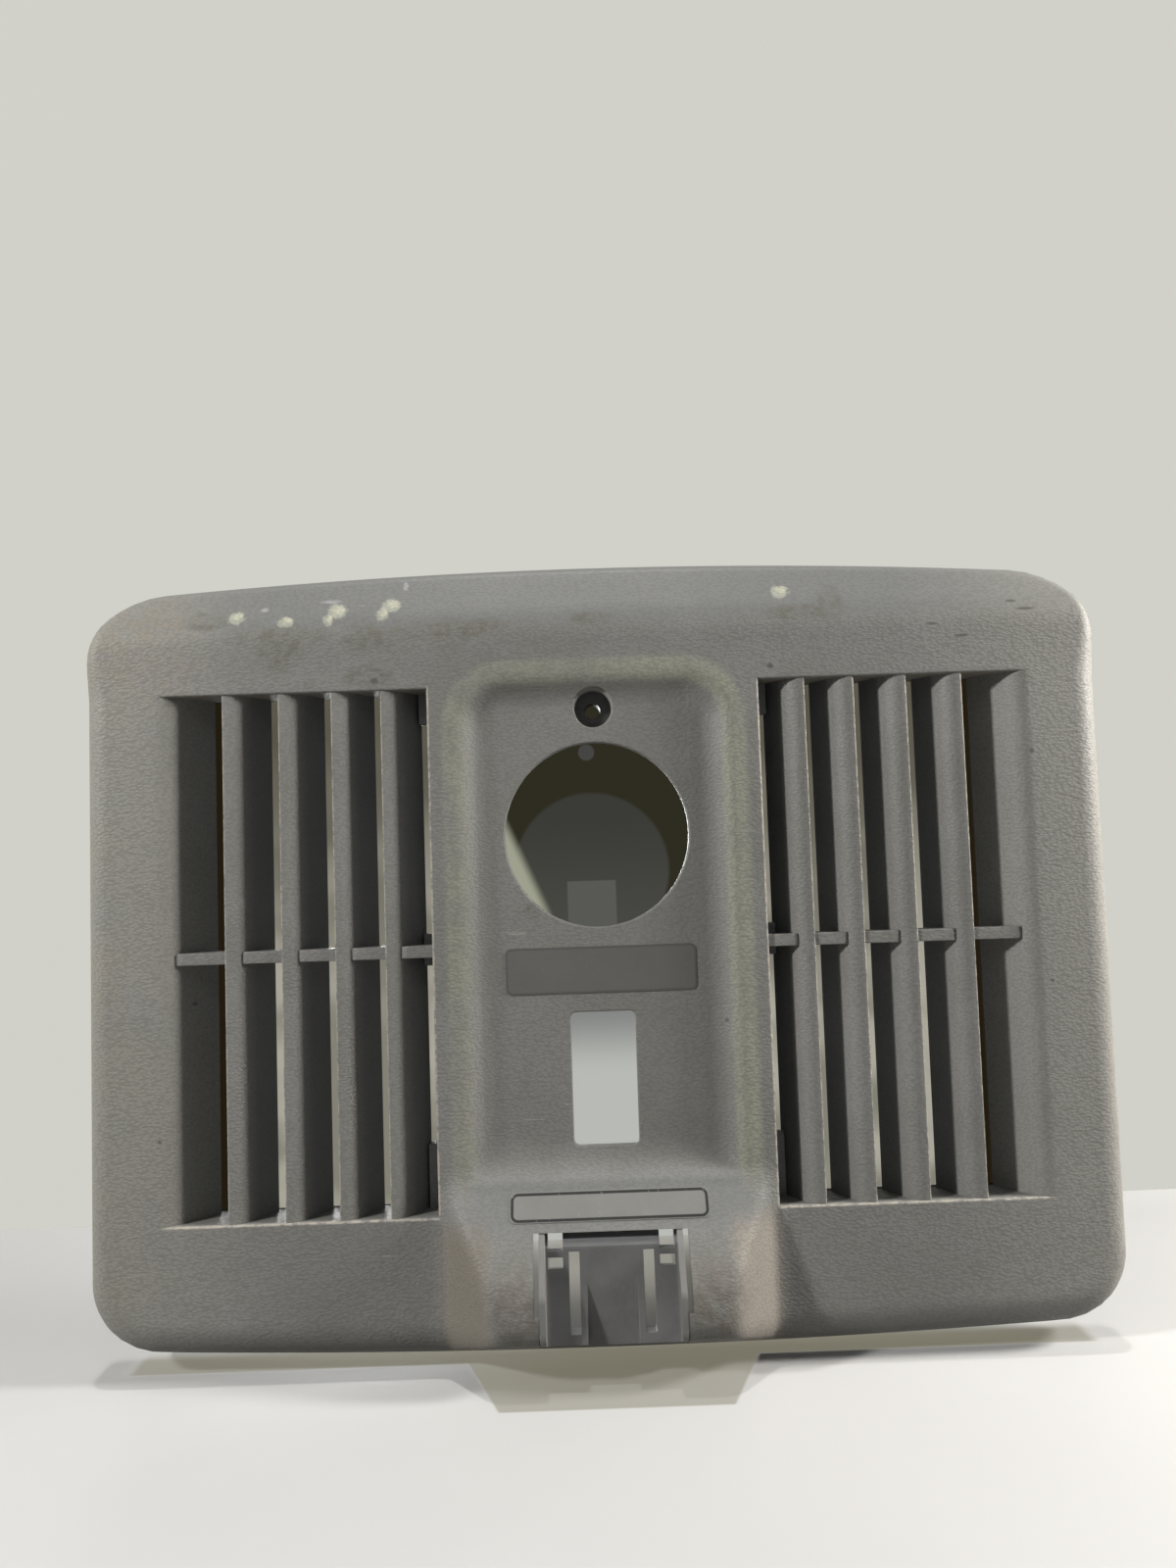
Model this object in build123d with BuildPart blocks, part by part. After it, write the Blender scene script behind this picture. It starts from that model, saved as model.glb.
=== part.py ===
"""Cab roof vent: the moulded inner cover with two banks of fixed vanes.

Lengths are in millimetres. +Z runs up the cover and the front faces -Y. The
origin is on the axis of the fixing screw, in the plane of the rear rim.
"""
import os
from math import atan2, cos, radians, sin, tan

from build123d import *

os.makedirs("parts", exist_ok=True)

# Cover outline, with heights measured from the fixing screw
cover_width = 353.0
cover_top = 52.5
cover_bottom = -215.2
top_crown = 8.5
bottom_crown = 4.5
top_corner_radius = 28.0
bottom_corner_radius = 23.0

# Cover section
wall = 2.5
face_depth = 20.0
edge_round = 8.0
top_slope_height = 22.0
top_slope_depth = 13.0
bottom_rake = 22.5

# Windows and the collars behind them
window_width = 89.6
window_height = 179.4
window_spacing = 115.2
window_level = -81.7
collar_wall = 2.0
collar_rear = 5.0
flange_width = 8.0
seal_thickness = 3.0

# Vanes, numbered from the middle outwards
vane_count = 4
vane_thickness = 2.0
vane_setback = 0.6
vane_depth = 14.5
vane_run = 12.2
vane_nose_depth = 3.0
first_pitch = 16.05
pitch_growth = 1.1
shoulder_round = 4.0

# Cross ribs, and the tabs that tie the inner vanes to the windows
rib_height = 3.4
rib_rise = 0.2
rib_setback = 3.2
rib_depth = 8.0
rib_clearance = 0.2
top_tab_height = 11.0
bottom_tab_height = 22.0
tab_depth = 4.0

# Tray down the middle
tray_width = 93.0
tray_top = 11.0
tray_bottom = -160.5
tray_depth = 5.0
tray_slope = 7.0
tray_bottom_slope = 3.0
tray_corner_radius = 16.0

# Screw boss, round opening and switch cut-out
screw_hole_diameter = 5.5
screw_seat_diameter = 12.9
screw_seat_depth = 7.0
screw_rim_chamfer = 0.8
boss_wall = 2.0
opening_diameter = 64.0
opening_level = -44.0
switch_width = 22.3
switch_height = 45.3
switch_level = -127.7
switch_corner_radius = 2.0

# Console at the lower edge
console_front_width = 78.0
console_base_width = 111.0
console_depth = 21.0
ramp_top = -160.5
ramp_bottom = -192.0
console_round = 5.0

# Latch pocket in the console
pocket_width = 47.5
pocket_wall = 2.0
pocket_top = -175.0
pocket_clearance = 0.3
pocket_side_depth = 7.0
pocket_middle_depth = 12.0
pocket_middle_width = 16.6
pocket_step_top = -191.0
pocket_ledge = 4.4
slit_width = 1.8
slit_bottom = -198.0
slot_width = 3.5
slot_height = 25.0
slot_level = -193.6
slot_spacing = 24.6
eye_width = 5.0
eye_inset = 0.8
upper_eye_height = 5.0
lower_eye_height = 3.6
eye_bar = 2.0

# Labels
label_thickness = 0.3
upper_label_width = 66.0
upper_label_height = 16.0
upper_label_level = -90.6
lower_label_width = 64.0
lower_label_height = 9.6
lower_label_drop = 8.7
label_corner_radius = 2.0

# Clip posts behind the corners, with a spring clip on each
post_spacing = 220.0
post_width = 14.0
post_thickness = 3.0
post_rear = 2.0
upper_post_margin = 16.0
lower_post_margin = 25.6
clip_width = 10.0
clip_steel = 0.6
clip_leg = 9.0
clip_flare = 1.6

# Stiffening ribs behind the face
stiffener_thickness = 1.6
stiffener_rear = 6.0
stiffener_spacing = 61.5

# Derived places
face_y = -face_depth
tray_floor_y = face_y + tray_depth
console_y = face_y - console_depth
window_top = window_level + window_height / 2
window_bottom = window_level - window_height / 2
rib_middle = window_level + rib_rise
window_inner = window_spacing / 2
window_outer = window_inner + window_width
rake = tan(radians(bottom_rake))
beyond = 60.0
sides = {"left": -1, "right": 1}
post_places = [
    (side * post_spacing / 2, level)
    for side in sides.values()
    for level in (window_top + upper_post_margin, window_bottom - lower_post_margin)
]


def bottom_at(y):
    """Return the height of the raked bottom wall at one depth, on the centreline."""
    return cover_bottom - (y - face_y) * rake


def block(x_limits, y_limits, z_limits):
    """Return a box between pairs of limits, outside any running builder."""
    return Pos(sum(x_limits) / 2, sum(y_limits) / 2, sum(z_limits) / 2) * Box(
        abs(x_limits[1] - x_limits[0]),
        abs(y_limits[1] - y_limits[0]),
        abs(z_limits[1] - z_limits[0]),
        mode=Mode.PRIVATE,
    )


def outline_at(y, inset):
    """Return the crowned outline of the cover at one depth, shrunk by the inset."""
    half = cover_width / 2 - inset
    top = cover_top - inset
    bottom = bottom_at(y) + inset
    shoulder = top - top_crown
    corner = bottom + bottom_crown
    with BuildSketch(Plane.XZ.offset(-y)) as outline:
        with BuildLine():
            Line((-half, shoulder), (-half, corner))
            ThreePointArc((-half, corner), (0, bottom), (half, corner))
            Line((half, corner), (half, shoulder))
            ThreePointArc((half, shoulder), (0, top), (-half, shoulder))
        make_face()
    return outline.sketch


def below_bottom(inset):
    """Return everything below the raked bottom plane on the centreline."""
    with BuildPart() as below:
        with BuildSketch(Plane.YZ):
            with BuildLine():
                Polyline(
                    (beyond, bottom_at(beyond) + inset),
                    (-beyond, bottom_at(-beyond) + inset),
                    (-beyond, cover_bottom - 2 * beyond),
                    (beyond, cover_bottom - 2 * beyond),
                    close=True,
                )
            make_face()
        extrude(amount=cover_width, both=True)
    return below.part


def base_form(inset):
    """Return the shallow box of the cover, shrunk on every side by the inset."""
    crease = cover_top - top_slope_height
    rim_y = face_y + top_slope_depth
    slope = atan2(top_slope_depth, top_slope_height)
    shift = inset / sin(slope) - inset / tan(slope)
    with BuildPart() as form:
        add(outline_at(0, inset))
        add(outline_at(face_y + inset, inset))
        loft(ruled=True)
        corners = form.edges().filter_by(lambda edge: edge.bounding_box().size.Y > wall)
        fillet(corners.group_by(Axis.Z)[-1], top_corner_radius - inset)
        corners = form.edges().filter_by(lambda edge: edge.bounding_box().size.Y > wall)
        fillet(corners.group_by(Axis.Z)[0], bottom_corner_radius - inset)
        with BuildSketch(Plane.YZ):
            with BuildLine():
                Polyline(
                    (face_y + inset - beyond, crease - shift),
                    (face_y + inset, crease - shift),
                    (rim_y + inset, cover_top - shift),
                    (rim_y + inset, cover_top + beyond),
                    (face_y + inset - beyond, cover_top + beyond),
                    close=True,
                )
            make_face()
        extrude(amount=cover_width, both=True, mode=Mode.SUBTRACT)
        front = form.faces().sort_by(Axis.Y)[0]
        fillet(front.edges(), edge_round - inset)
    return form.part


def console_form(inset):
    """Return the proud block at the lower edge, shrunk by the inset."""
    front = console_front_width / 2 - inset
    base = console_base_width / 2 - inset
    front_y = console_y + inset
    root_y = face_y + wall
    ramp = atan2(console_depth, ramp_top - ramp_bottom)
    shift = inset / sin(ramp) - inset / tan(ramp)
    spread = (base - front) * (root_y - front_y) / (face_y - console_y)
    rise = (root_y - front_y) / tan(ramp)
    with BuildPart() as form:
        with BuildSketch(Plane.XY.offset(cover_bottom - beyond)):
            with BuildLine():
                Polyline(
                    (-front - spread, root_y), (-front, front_y),
                    (front, front_y), (front + spread, root_y),
                    close=True,
                )
            make_face()
        extrude(amount=cover_top - cover_bottom + beyond)
        with BuildSketch(Plane.YZ):
            with BuildLine():
                Polyline(
                    (root_y, ramp_bottom - shift + rise), (front_y, ramp_bottom - shift),
                    (front_y, cover_bottom - beyond), (root_y, cover_bottom - beyond),
                    close=True,
                )
            make_face()
        extrude(amount=cover_width, both=True, mode=Mode.INTERSECT)
        add(below_bottom(inset), mode=Mode.SUBTRACT)
        front_face = form.faces().sort_by(Axis.Y)[0]
        ramp_face = form.faces().sort_by(Axis.Z)[-1]
        flanks = ramp_face.edges().filter_by(lambda edge: edge.bounding_box().size.Y > wall)
        fillet(front_face.edges() + flanks, console_round - inset)
    return form.part


def tray_form(inset):
    """Return the recess of the tray, grown by the inset."""
    half = tray_width / 2 + inset
    floor_top = tray_top - tray_slope + inset
    floor_bottom = tray_bottom + tray_bottom_slope - inset
    with BuildPart() as form:
        with BuildSketch(Plane.XZ.offset(face_depth - tray_depth - inset)):
            with Locations((0, (floor_top + floor_bottom) / 2)):
                RectangleRounded(
                    2 * (half - tray_slope), floor_top - floor_bottom,
                    tray_corner_radius - tray_slope + inset,
                )
        with BuildSketch(Plane.XZ.offset(face_depth)):
            with Locations((0, (tray_top + tray_bottom) / 2)):
                RectangleRounded(
                    2 * half, tray_top - tray_bottom + 2 * inset, tray_corner_radius + inset,
                )
        loft()
    return form.part


def cavity_form():
    """Return the hollow behind the face, open to the rear."""
    with BuildPart() as cavity:
        add(base_form(wall))
        add(console_form(wall))
        add(tray_form(wall), mode=Mode.SUBTRACT)
    return cavity.part


def window_ring(side, margin, front_y, rear_y):
    """Return a ring around one window, as wide as the margin."""
    middle = side * (window_inner + window_outer) / 2
    with BuildPart() as ring:
        with BuildSketch(Plane.XZ.offset(-rear_y)):
            with Locations((middle, window_level)):
                Rectangle(window_width + 2 * margin, window_height + 2 * margin)
                Rectangle(window_width, window_height, mode=Mode.SUBTRACT)
        extrude(amount=rear_y - front_y)
    return ring.part


def vane_front(number):
    """Return how far one vane's front edge stands from the middle of the cover."""
    return window_inner + number * first_pitch + number * (number - 1) / 2 * pitch_growth


def slanted_plate(front_x, nose, side):
    """Return a slanted plate as tall as the window, with a straight nose in front."""
    front_y = face_y + vane_setback
    bend_y = front_y + nose
    back_y = front_y + vane_depth
    slant = atan2(vane_run - vane_thickness, vane_depth - nose)
    thick = vane_thickness / cos(slant)
    rear_bend_y = back_y - (vane_run - thick) / tan(slant)
    points = [
        (front_x, front_y),
        (front_x - vane_thickness, front_y),
        (front_x - vane_thickness, bend_y),
        (front_x - vane_run, back_y),
        (front_x - vane_run + thick, back_y),
        (front_x, rear_bend_y),
    ]
    with BuildPart() as plate:
        with BuildSketch(Plane.XY.offset(window_bottom)) as section:
            with BuildLine():
                Polyline(*[(side * x, y) for x, y in points], close=True)
            make_face()
            bends = section.vertices().sort_by(Axis.Y)[2:4]
            fillet(bends, shoulder_round)
        extrude(amount=window_height)
    return plate.part


def end_wall(side):
    """Return the slanted outer wall of one window, which runs into the face."""
    back_x = window_outer - vane_run
    back_y = face_y + vane_setback + vane_depth
    with BuildPart() as plate:
        with BuildSketch(Plane.XY.offset(window_bottom - collar_wall)):
            with BuildLine():
                Polyline(
                    (side * window_outer, face_y),
                    (side * back_x, back_y),
                    (side * (back_x + collar_wall), back_y),
                    (side * (window_outer + wall), face_y + wall),
                    (side * (window_outer + wall), face_y),
                    close=True,
                )
            make_face()
        extrude(amount=window_height + 2 * collar_wall)
    return plate.part


def rib_bar(side, clearance):
    """Return one cross rib, grown by the clearance in height and depth."""
    front_y = face_y + rib_setback - clearance
    back_y = front_y + rib_depth + 2 * clearance
    lean = vane_run / (vane_setback + vane_depth)
    front_end = window_outer - (front_y - face_y) * lean
    back_end = window_outer - (back_y - face_y) * lean
    with BuildPart() as bar:
        with BuildSketch(Plane.XY.offset(rib_middle - rib_height / 2 - clearance)):
            with BuildLine():
                Polyline(
                    (side * window_inner, front_y),
                    (side * front_end, front_y),
                    (side * back_end, back_y),
                    (side * window_inner, back_y),
                    close=True,
                )
            make_face()
        extrude(amount=rib_height + 2 * clearance)
    return bar.part


def rear_ribs():
    """Return the stiffening ribs and clip posts that stand on the inner face."""
    with BuildPart() as ribs:
        for side in sides.values():
            for step in (-1, 0, 1):
                level = rib_middle + step * stiffener_spacing
                add(block(
                    (side * (window_outer + collar_wall / 2), side * cover_width / 2),
                    (face_y, -stiffener_rear),
                    (level - stiffener_thickness / 2, level + stiffener_thickness / 2),
                ))
        for x, level in post_places:
            add(block(
                (x - post_width / 2, x + post_width / 2),
                (face_y, -post_rear),
                (level - post_thickness / 2, level + post_thickness / 2),
            ))
        add(base_form(wall / 2), mode=Mode.INTERSECT)
    return ribs.part


def notch_form():
    """Return the notch of the console that takes the latch pocket."""
    low = cover_bottom - beyond
    half = pocket_width / 2 + pocket_clearance
    slit_half = pocket_width / 2 + slit_width
    rear_y = console_y + pocket_middle_depth + pocket_wall + pocket_clearance
    with BuildPart() as notch:
        add(block((-half, half), (console_y - beyond, rear_y), (low, pocket_top + pocket_clearance)))
        add(block((-slit_half, slit_half), (console_y - beyond, rear_y),
                  (slit_bottom, pocket_top + pocket_clearance)))
    return notch.part


# Cover moulding, with tabs that meet the back edges of the inner vanes
tab_rear = face_y + vane_setback + vane_depth
tab_reach = vane_front(1) - vane_run
tab_spans = (
    (window_top - top_tab_height, window_top),
    (rib_middle - top_tab_height / 2, rib_middle + top_tab_height / 2),
    (window_bottom, window_bottom + bottom_tab_height),
)
with BuildPart() as cover:
    add(base_form(0))
    add(console_form(0))
    add(tray_form(0), mode=Mode.SUBTRACT)
    add(cavity_form(), mode=Mode.SUBTRACT)
    for side in sides.values():
        middle = side * (window_inner + window_outer) / 2
        add(block(
            (middle - window_width / 2, middle + window_width / 2),
            (face_y - wall, 0),
            (window_bottom, window_top),
        ), mode=Mode.SUBTRACT)
        add(window_ring(side, collar_wall, face_y + wall / 2, -seal_thickness))
        add(window_ring(side, flange_width, -collar_rear, -seal_thickness))
        add(end_wall(side))
        for span in tab_spans:
            add(block((side * window_inner, side * tab_reach), (tab_rear - tab_depth, tab_rear), span))
        add(rib_bar(side, 0), mode=Mode.SUBTRACT)
    add(rear_ribs())
    with BuildSketch(Plane.XZ):
        Circle(screw_seat_diameter / 2 + boss_wall)
    extrude(amount=-tray_floor_y - wall / 2)
    with Locations(Plane.XZ.offset(-tray_floor_y)):
        CounterBoreHole(
            screw_hole_diameter / 2, screw_seat_diameter / 2, screw_seat_depth,
            depth=2 * face_depth,
        )
    seat_rims = cover.edges().filter_by(GeomType.CIRCLE).filter_by(
        lambda edge: abs(edge.radius - screw_seat_diameter / 2) < 0.01
    )
    chamfer(seat_rims.sort_by(Axis.Y)[0], screw_rim_chamfer)
    with BuildSketch(Plane.XZ.offset(-tray_floor_y - face_depth)):
        with Locations((0, opening_level)):
            Circle(opening_diameter / 2)
        with Locations((0, switch_level)):
            RectangleRounded(switch_width, switch_height, switch_corner_radius)
    extrude(amount=2 * face_depth, mode=Mode.SUBTRACT)
    add(notch_form(), mode=Mode.SUBTRACT)
cover.part.label = "cover"
export_step(cover.part, "parts/cover.step")

# Vanes, each with a slot where the cross rib passes
for side_name, side in sides.items():
    for number in range(1, vane_count + 1):
        with BuildPart() as vane:
            add(slanted_plate(vane_front(number), vane_nose_depth, side))
            add(rib_bar(side, rib_clearance), mode=Mode.SUBTRACT)
        name = f"{side_name}_vane_{number}"
        vane.part.label = name
        export_step(vane.part, f"parts/{name}.step")

# Cross ribs
for side_name, side in sides.items():
    with BuildPart() as cross_rib:
        add(rib_bar(side, 0))
    cross_rib.part.label = f"{side_name}_cross_rib"
    export_step(cross_rib.part, f"parts/{side_name}_cross_rib.step")


def pocket_strip(half_width, floor_y, step_y, overlap):
    """Return one strip of the pocket's floor with its ledge, under the given half width."""
    ledge_back = floor_y + pocket_ledge
    low = cover_bottom - beyond
    with BuildPart() as strip:
        with BuildSketch(Plane.YZ):
            with BuildLine():
                Polyline(
                    (step_y, low),
                    (step_y, bottom_at(step_y)),
                    (floor_y, pocket_step_top),
                    (floor_y, pocket_top - pocket_ledge),
                    (ledge_back, pocket_top),
                    (ledge_back + overlap, pocket_top),
                    (ledge_back + overlap, pocket_top - pocket_ledge),
                    (floor_y + overlap, pocket_top - pocket_ledge - overlap),
                    (floor_y + overlap, low),
                    close=True,
                )
            make_face()
        extrude(amount=half_width, both=True)
    return strip.part


# Latch pocket
floor_y = console_y + pocket_middle_depth
side_floor_y = console_y + pocket_side_depth
pocket_half = pocket_width / 2
pocket_low = cover_bottom - beyond
with BuildPart() as latch_pocket:
    add(pocket_strip(pocket_half, floor_y, floor_y, pocket_wall))
    with BuildPart(mode=Mode.PRIVATE) as side_steps:
        add(pocket_strip(pocket_half, floor_y, side_floor_y, pocket_wall))
        add(block((-pocket_middle_width / 2, pocket_middle_width / 2), (-beyond, 0), (pocket_low, 0)),
            mode=Mode.SUBTRACT)
    add(side_steps.part)
    for side in sides.values():
        add(block((side * (pocket_half - pocket_wall), side * pocket_half),
                  (console_y - wall, floor_y + pocket_wall), (pocket_low, pocket_top)))
    add(console_form(pocket_clearance), mode=Mode.INTERSECT)
    with BuildPart(mode=Mode.PRIVATE) as lip:
        add(block((-pocket_half, pocket_half), (console_y, floor_y + pocket_ledge + pocket_wall),
                  (pocket_top, pocket_top + pocket_wall)))
        add(console_form(wall + pocket_clearance), mode=Mode.INTERSECT)
    add(lip.part)
    for x in (-slot_spacing / 2, slot_spacing / 2):
        add(block((x - slot_width / 2, x + slot_width / 2), (console_y, 0),
                  (slot_level - slot_height / 2, slot_level + slot_height / 2)), mode=Mode.SUBTRACT)
    for side in sides.values():
        eye_outer = pocket_half - pocket_wall - eye_inset
        upper_top = pocket_top - eye_inset
        lower_top = upper_top - upper_eye_height - eye_bar
        for top, height in ((upper_top, upper_eye_height), (lower_top, lower_eye_height)):
            add(block((side * eye_outer, side * (eye_outer - eye_width)), (console_y, 0),
                      (top - height, top)), mode=Mode.SUBTRACT)
latch_pocket.part.label = "latch_pocket"
export_step(latch_pocket.part, "parts/latch_pocket.step")

# Upper label on the tray floor
with BuildPart() as upper_label:
    with BuildSketch(Plane.XZ.offset(-tray_floor_y)):
        with Locations((0, upper_label_level)):
            RectangleRounded(upper_label_width, upper_label_height, label_corner_radius)
    extrude(amount=label_thickness)
upper_label.part.label = "upper_label"
export_step(upper_label.part, "parts/upper_label.step")

# Lower label on the ramp of the console, measured down from the ramp's top
ramp_plane = Plane(
    origin=(0, face_y, ramp_top), x_dir=(1, 0, 0), z_dir=(0, ramp_bottom - ramp_top, console_depth)
)
with BuildPart() as lower_label:
    with BuildSketch(ramp_plane):
        with Locations((0, -lower_label_drop)):
            RectangleRounded(lower_label_width, lower_label_height, label_corner_radius)
    extrude(amount=label_thickness)
lower_label.part.label = "lower_label"
export_step(lower_label.part, "parts/lower_label.step")

# Foam seals behind the windows
for side_name, side in sides.items():
    with BuildPart() as duct_seal:
        add(window_ring(side, flange_width, -seal_thickness, 0))
    duct_seal.part.label = f"{side_name}_duct_seal"
    export_step(duct_seal.part, f"parts/{side_name}_duct_seal.step")

# Spring clips, pushed over the posts
clip_inner = post_thickness / 2
clip_outer = clip_inner + clip_steel
clip_bend_y = -post_rear - clip_leg / 2
clip_tip_y = -post_rear - clip_leg
clip_half = [
    (-post_rear + clip_steel, clip_outer),
    (clip_bend_y, clip_outer),
    (clip_tip_y, clip_outer + clip_flare),
    (clip_tip_y, clip_inner + clip_flare),
    (clip_bend_y, clip_inner),
    (-post_rear, clip_inner),
]
with BuildPart() as spring_clips:
    for x, level in post_places:
        above = [(y, level + offset) for y, offset in clip_half]
        below = [(y, level - offset) for y, offset in reversed(clip_half)]
        with BuildSketch(Plane.YZ.offset(x - clip_width / 2)):
            with BuildLine():
                Polyline(*above, *below, close=True)
            make_face()
        extrude(amount=clip_width)
spring_clips.part.label = "spring_clips"
export_step(spring_clips.part, "parts/spring_clips.step")
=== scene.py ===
from math import atan2, cos, pi, radians, sin, sqrt, tan

import bmesh
import bpy
import numpy as np
from mathutils import Matrix, Vector


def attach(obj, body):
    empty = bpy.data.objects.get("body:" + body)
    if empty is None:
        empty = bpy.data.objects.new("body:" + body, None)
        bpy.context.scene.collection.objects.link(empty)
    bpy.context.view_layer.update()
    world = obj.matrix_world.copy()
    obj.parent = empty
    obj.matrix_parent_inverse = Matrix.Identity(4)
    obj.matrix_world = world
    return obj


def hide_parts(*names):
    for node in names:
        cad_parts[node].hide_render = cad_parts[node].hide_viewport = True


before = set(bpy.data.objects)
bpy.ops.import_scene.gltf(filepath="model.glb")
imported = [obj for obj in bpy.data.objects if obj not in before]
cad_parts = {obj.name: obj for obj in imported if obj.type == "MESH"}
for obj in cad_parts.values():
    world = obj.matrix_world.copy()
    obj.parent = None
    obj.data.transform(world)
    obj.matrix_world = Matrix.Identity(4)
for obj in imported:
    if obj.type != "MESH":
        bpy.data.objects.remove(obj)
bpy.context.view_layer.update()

MM = 0.001
scene = bpy.context.scene

# Cover outline and section
half_width = 176.5
cover_top, cover_bottom = 52.5, -215.2
top_crown, bottom_crown = 8.5, 4.5
top_corner, bottom_corner = 28.0, 23.0
wall = 2.5
face_height = 20.0
side_round, top_round, console_edge_round = 8.0, 3.0, 5.0
slope_start, slope_fall, slope_blend = 30.5, 13.0 / 22.0, 3.5

# The lower edge is raked; the rake sets in below rake_start, over the length of rake_blend.
# Below bottom_zone the outline is the bottom edge or one of its corners.
rake = tan(radians(22.5))
rake_start, rake_blend = -82.0, 60.0
bottom_zone = -150.0

# Windows and what stands behind them
window_inner, window_outer = 57.6, 147.2
window_low, window_high = -171.4, 8.0
window_brink = 151.97
rim_round = 0.8
end_wall_round = 10.0
end_wall_lean = 12.2 / 15.1
end_wall_turn = atan2(1.0, end_wall_lean)
duct_depth = 15.1
collar_wall = 2.0
outer_wall_front, outer_wall_rear = -18.4, -4.0
flange_width, flange_rear, flange_front = 8.0, 3.0, 5.0
tab_depth, tab_gap = 4.0, 11.8
seal_margin = 0.3

# Tray
tray_half, tray_top, tray_bottom = 46.5, 11.0, -160.5
tray_depth, tray_slope, tray_step, tray_corner = 5.0, 7.0, 3.0, 16.0
tray_foot_blend, tray_brink_blend, tray_floor_blend = 2.5, 1.8, 2.4
tray_floor = -(face_height - tray_depth)

# Console
console_depth = 21.0
console_front_half, console_base_half = 39.0, 55.5
ramp_top, ramp_bottom = -160.5, -192.0
console_blend, console_foot_blend = 5.0, 3.0

# Openings
screw_seat_radius, screw_hole_radius, screw_seat_depth, boss_wall = 6.45, 2.75, 7.0, 2.0
opening_radius, opening_level = 32.0, -44.0
switch_width, switch_height, switch_level, switch_round = 22.3, 45.3, -127.7, 2.0
notch_half, notch_top, slit_half, slit_bottom = 24.05, -174.7, 25.55, -198.0
hole_flare, switch_flare = 0.7, 0.6

# Vanes and cross ribs
vane_count, first_pitch, pitch_growth = 4, 16.05, 1.1
vane_setback, vane_depth, vane_run, vane_thickness = 0.6, 14.5, 12.4, 2.0
vane_nose, vane_round, vane_widening = 4.8, 7.0, 0.03
vane_lean = (vane_run - vane_nose) / vane_depth
rib_level, rib_height, rib_setback, rib_depth, rib_round = -82.4, 4.1, 1.6, 8.0, 3.6

# Stiffening ribs, and the clips with their posts
stiffener_lowest, stiffener_rise, stiffener_half = -143.0, 61.5, 0.8
clip_half_spacing, clip_lowest, clip_rise = 110.0, -197.0, 221.0
post_half, clip_half = 7.0, 5.0

# Labels
upper_label_size, upper_label_level = (66.0, 16.0), -90.6
lower_label_size, lower_label_drop = (66.4, 10.2), 8.7
label_thickness, label_round, label_bevel = 0.3, 2.0, 0.18

# Setting
camera_place = Vector((-5.906, -424.548, -52.265))
camera_pitch, camera_yaw, camera_roll = 0.0632, -0.0083, 0.0328
lens_length, sensor_width = 27.0, 36.0
floor_level = -224.0
backdrop = (0.640, 0.640, 0.585)
ambient_light, ambient_front, ambient_behind = (0.92, 0.96, 1.0), 0.012, 0.04
board_distance, board_reach, board_top = 164.0, 1500.0, 1300.0
card_level, card_half, card_low, card_high = -0.4, 158.0, -186.0, 15.5
lit_middle = Vector((0.0, -0.02, -0.08))


def vane_front(number):
    """Distance of a vane's outer front corner from the middle of the cover."""
    return window_inner + number * first_pitch + number * (number - 1) / 2 * pitch_growth


# ---------------------------------------------------------------- node helpers
class Number:
    """A value in a material; arithmetic on it adds Math nodes."""

    def __init__(self, finish, socket):
        self.finish = finish
        self.socket = socket

    def math(self, operation, *others):
        node = self.finish.node("ShaderNodeMath", {"operation": operation}, [self, *others])
        return Number(self.finish, node.outputs[0])

    def __add__(self, other):
        return self.math("ADD", other)

    __radd__ = __add__

    def __sub__(self, other):
        return self.math("SUBTRACT", other)

    def __rsub__(self, other):
        return self.math("MULTIPLY", -1.0).math("ADD", other)

    def __mul__(self, other):
        return self.math("MULTIPLY", other)

    __rmul__ = __mul__

    def __truediv__(self, other):
        return self.math("DIVIDE", other)

    def __abs__(self):
        return self.math("ABSOLUTE")

    def most(self, other):
        return self.math("MAXIMUM", other)

    def step(self, low, high):
        """Rise smoothly from 0 at low to 1 at high, or fall where low is the larger."""
        node = self.finish.node(
            "ShaderNodeMapRange", {"interpolation_type": "SMOOTHSTEP"},
            {"Value": self, "From Min": low, "From Max": high},
        )
        return Number(self.finish, node.outputs["Result"])


def add_node(tree, kind, settings=None, values=None):
    """Add one node: its settings first, then the values or links of its sockets."""
    node = tree.nodes.new(kind)
    for key, value in (settings or {}).items():
        setattr(node, key, value)
    pairs = enumerate(values) if isinstance(values, list) else (values or {}).items()
    for key, value in pairs:
        feed(tree, node.inputs[key], value)
    return node


def feed(tree, socket, value):
    """Link a socket to a value of the tree, or set it to a plain one."""
    if isinstance(value, Number):
        value = value.socket
    if isinstance(value, bpy.types.NodeSocket):
        tree.links.new(value, socket)
    elif socket.type == "RGBA":
        socket.default_value = (*value, 1.0)
    else:
        socket.default_value = value


def diagonal(across, up):
    """Length of the step (across, up), as a value in a material."""
    return (across * across + up * up).math("SQRT")


def past_edge(across, up, reach_across, reach_up, corner):
    """Distance past an edge with a rounded corner; negative inside the line."""
    over_across = (across - (reach_across - corner)).most(0.0)
    over_up = (up - (reach_up - corner)).most(0.0)
    return diagonal(over_across, over_up) - corner


def any_of(masks):
    """Where at least one of the masks is set."""
    first, *others = masks
    for mask in others:
        first = first.most(mask)
    return first


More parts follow.
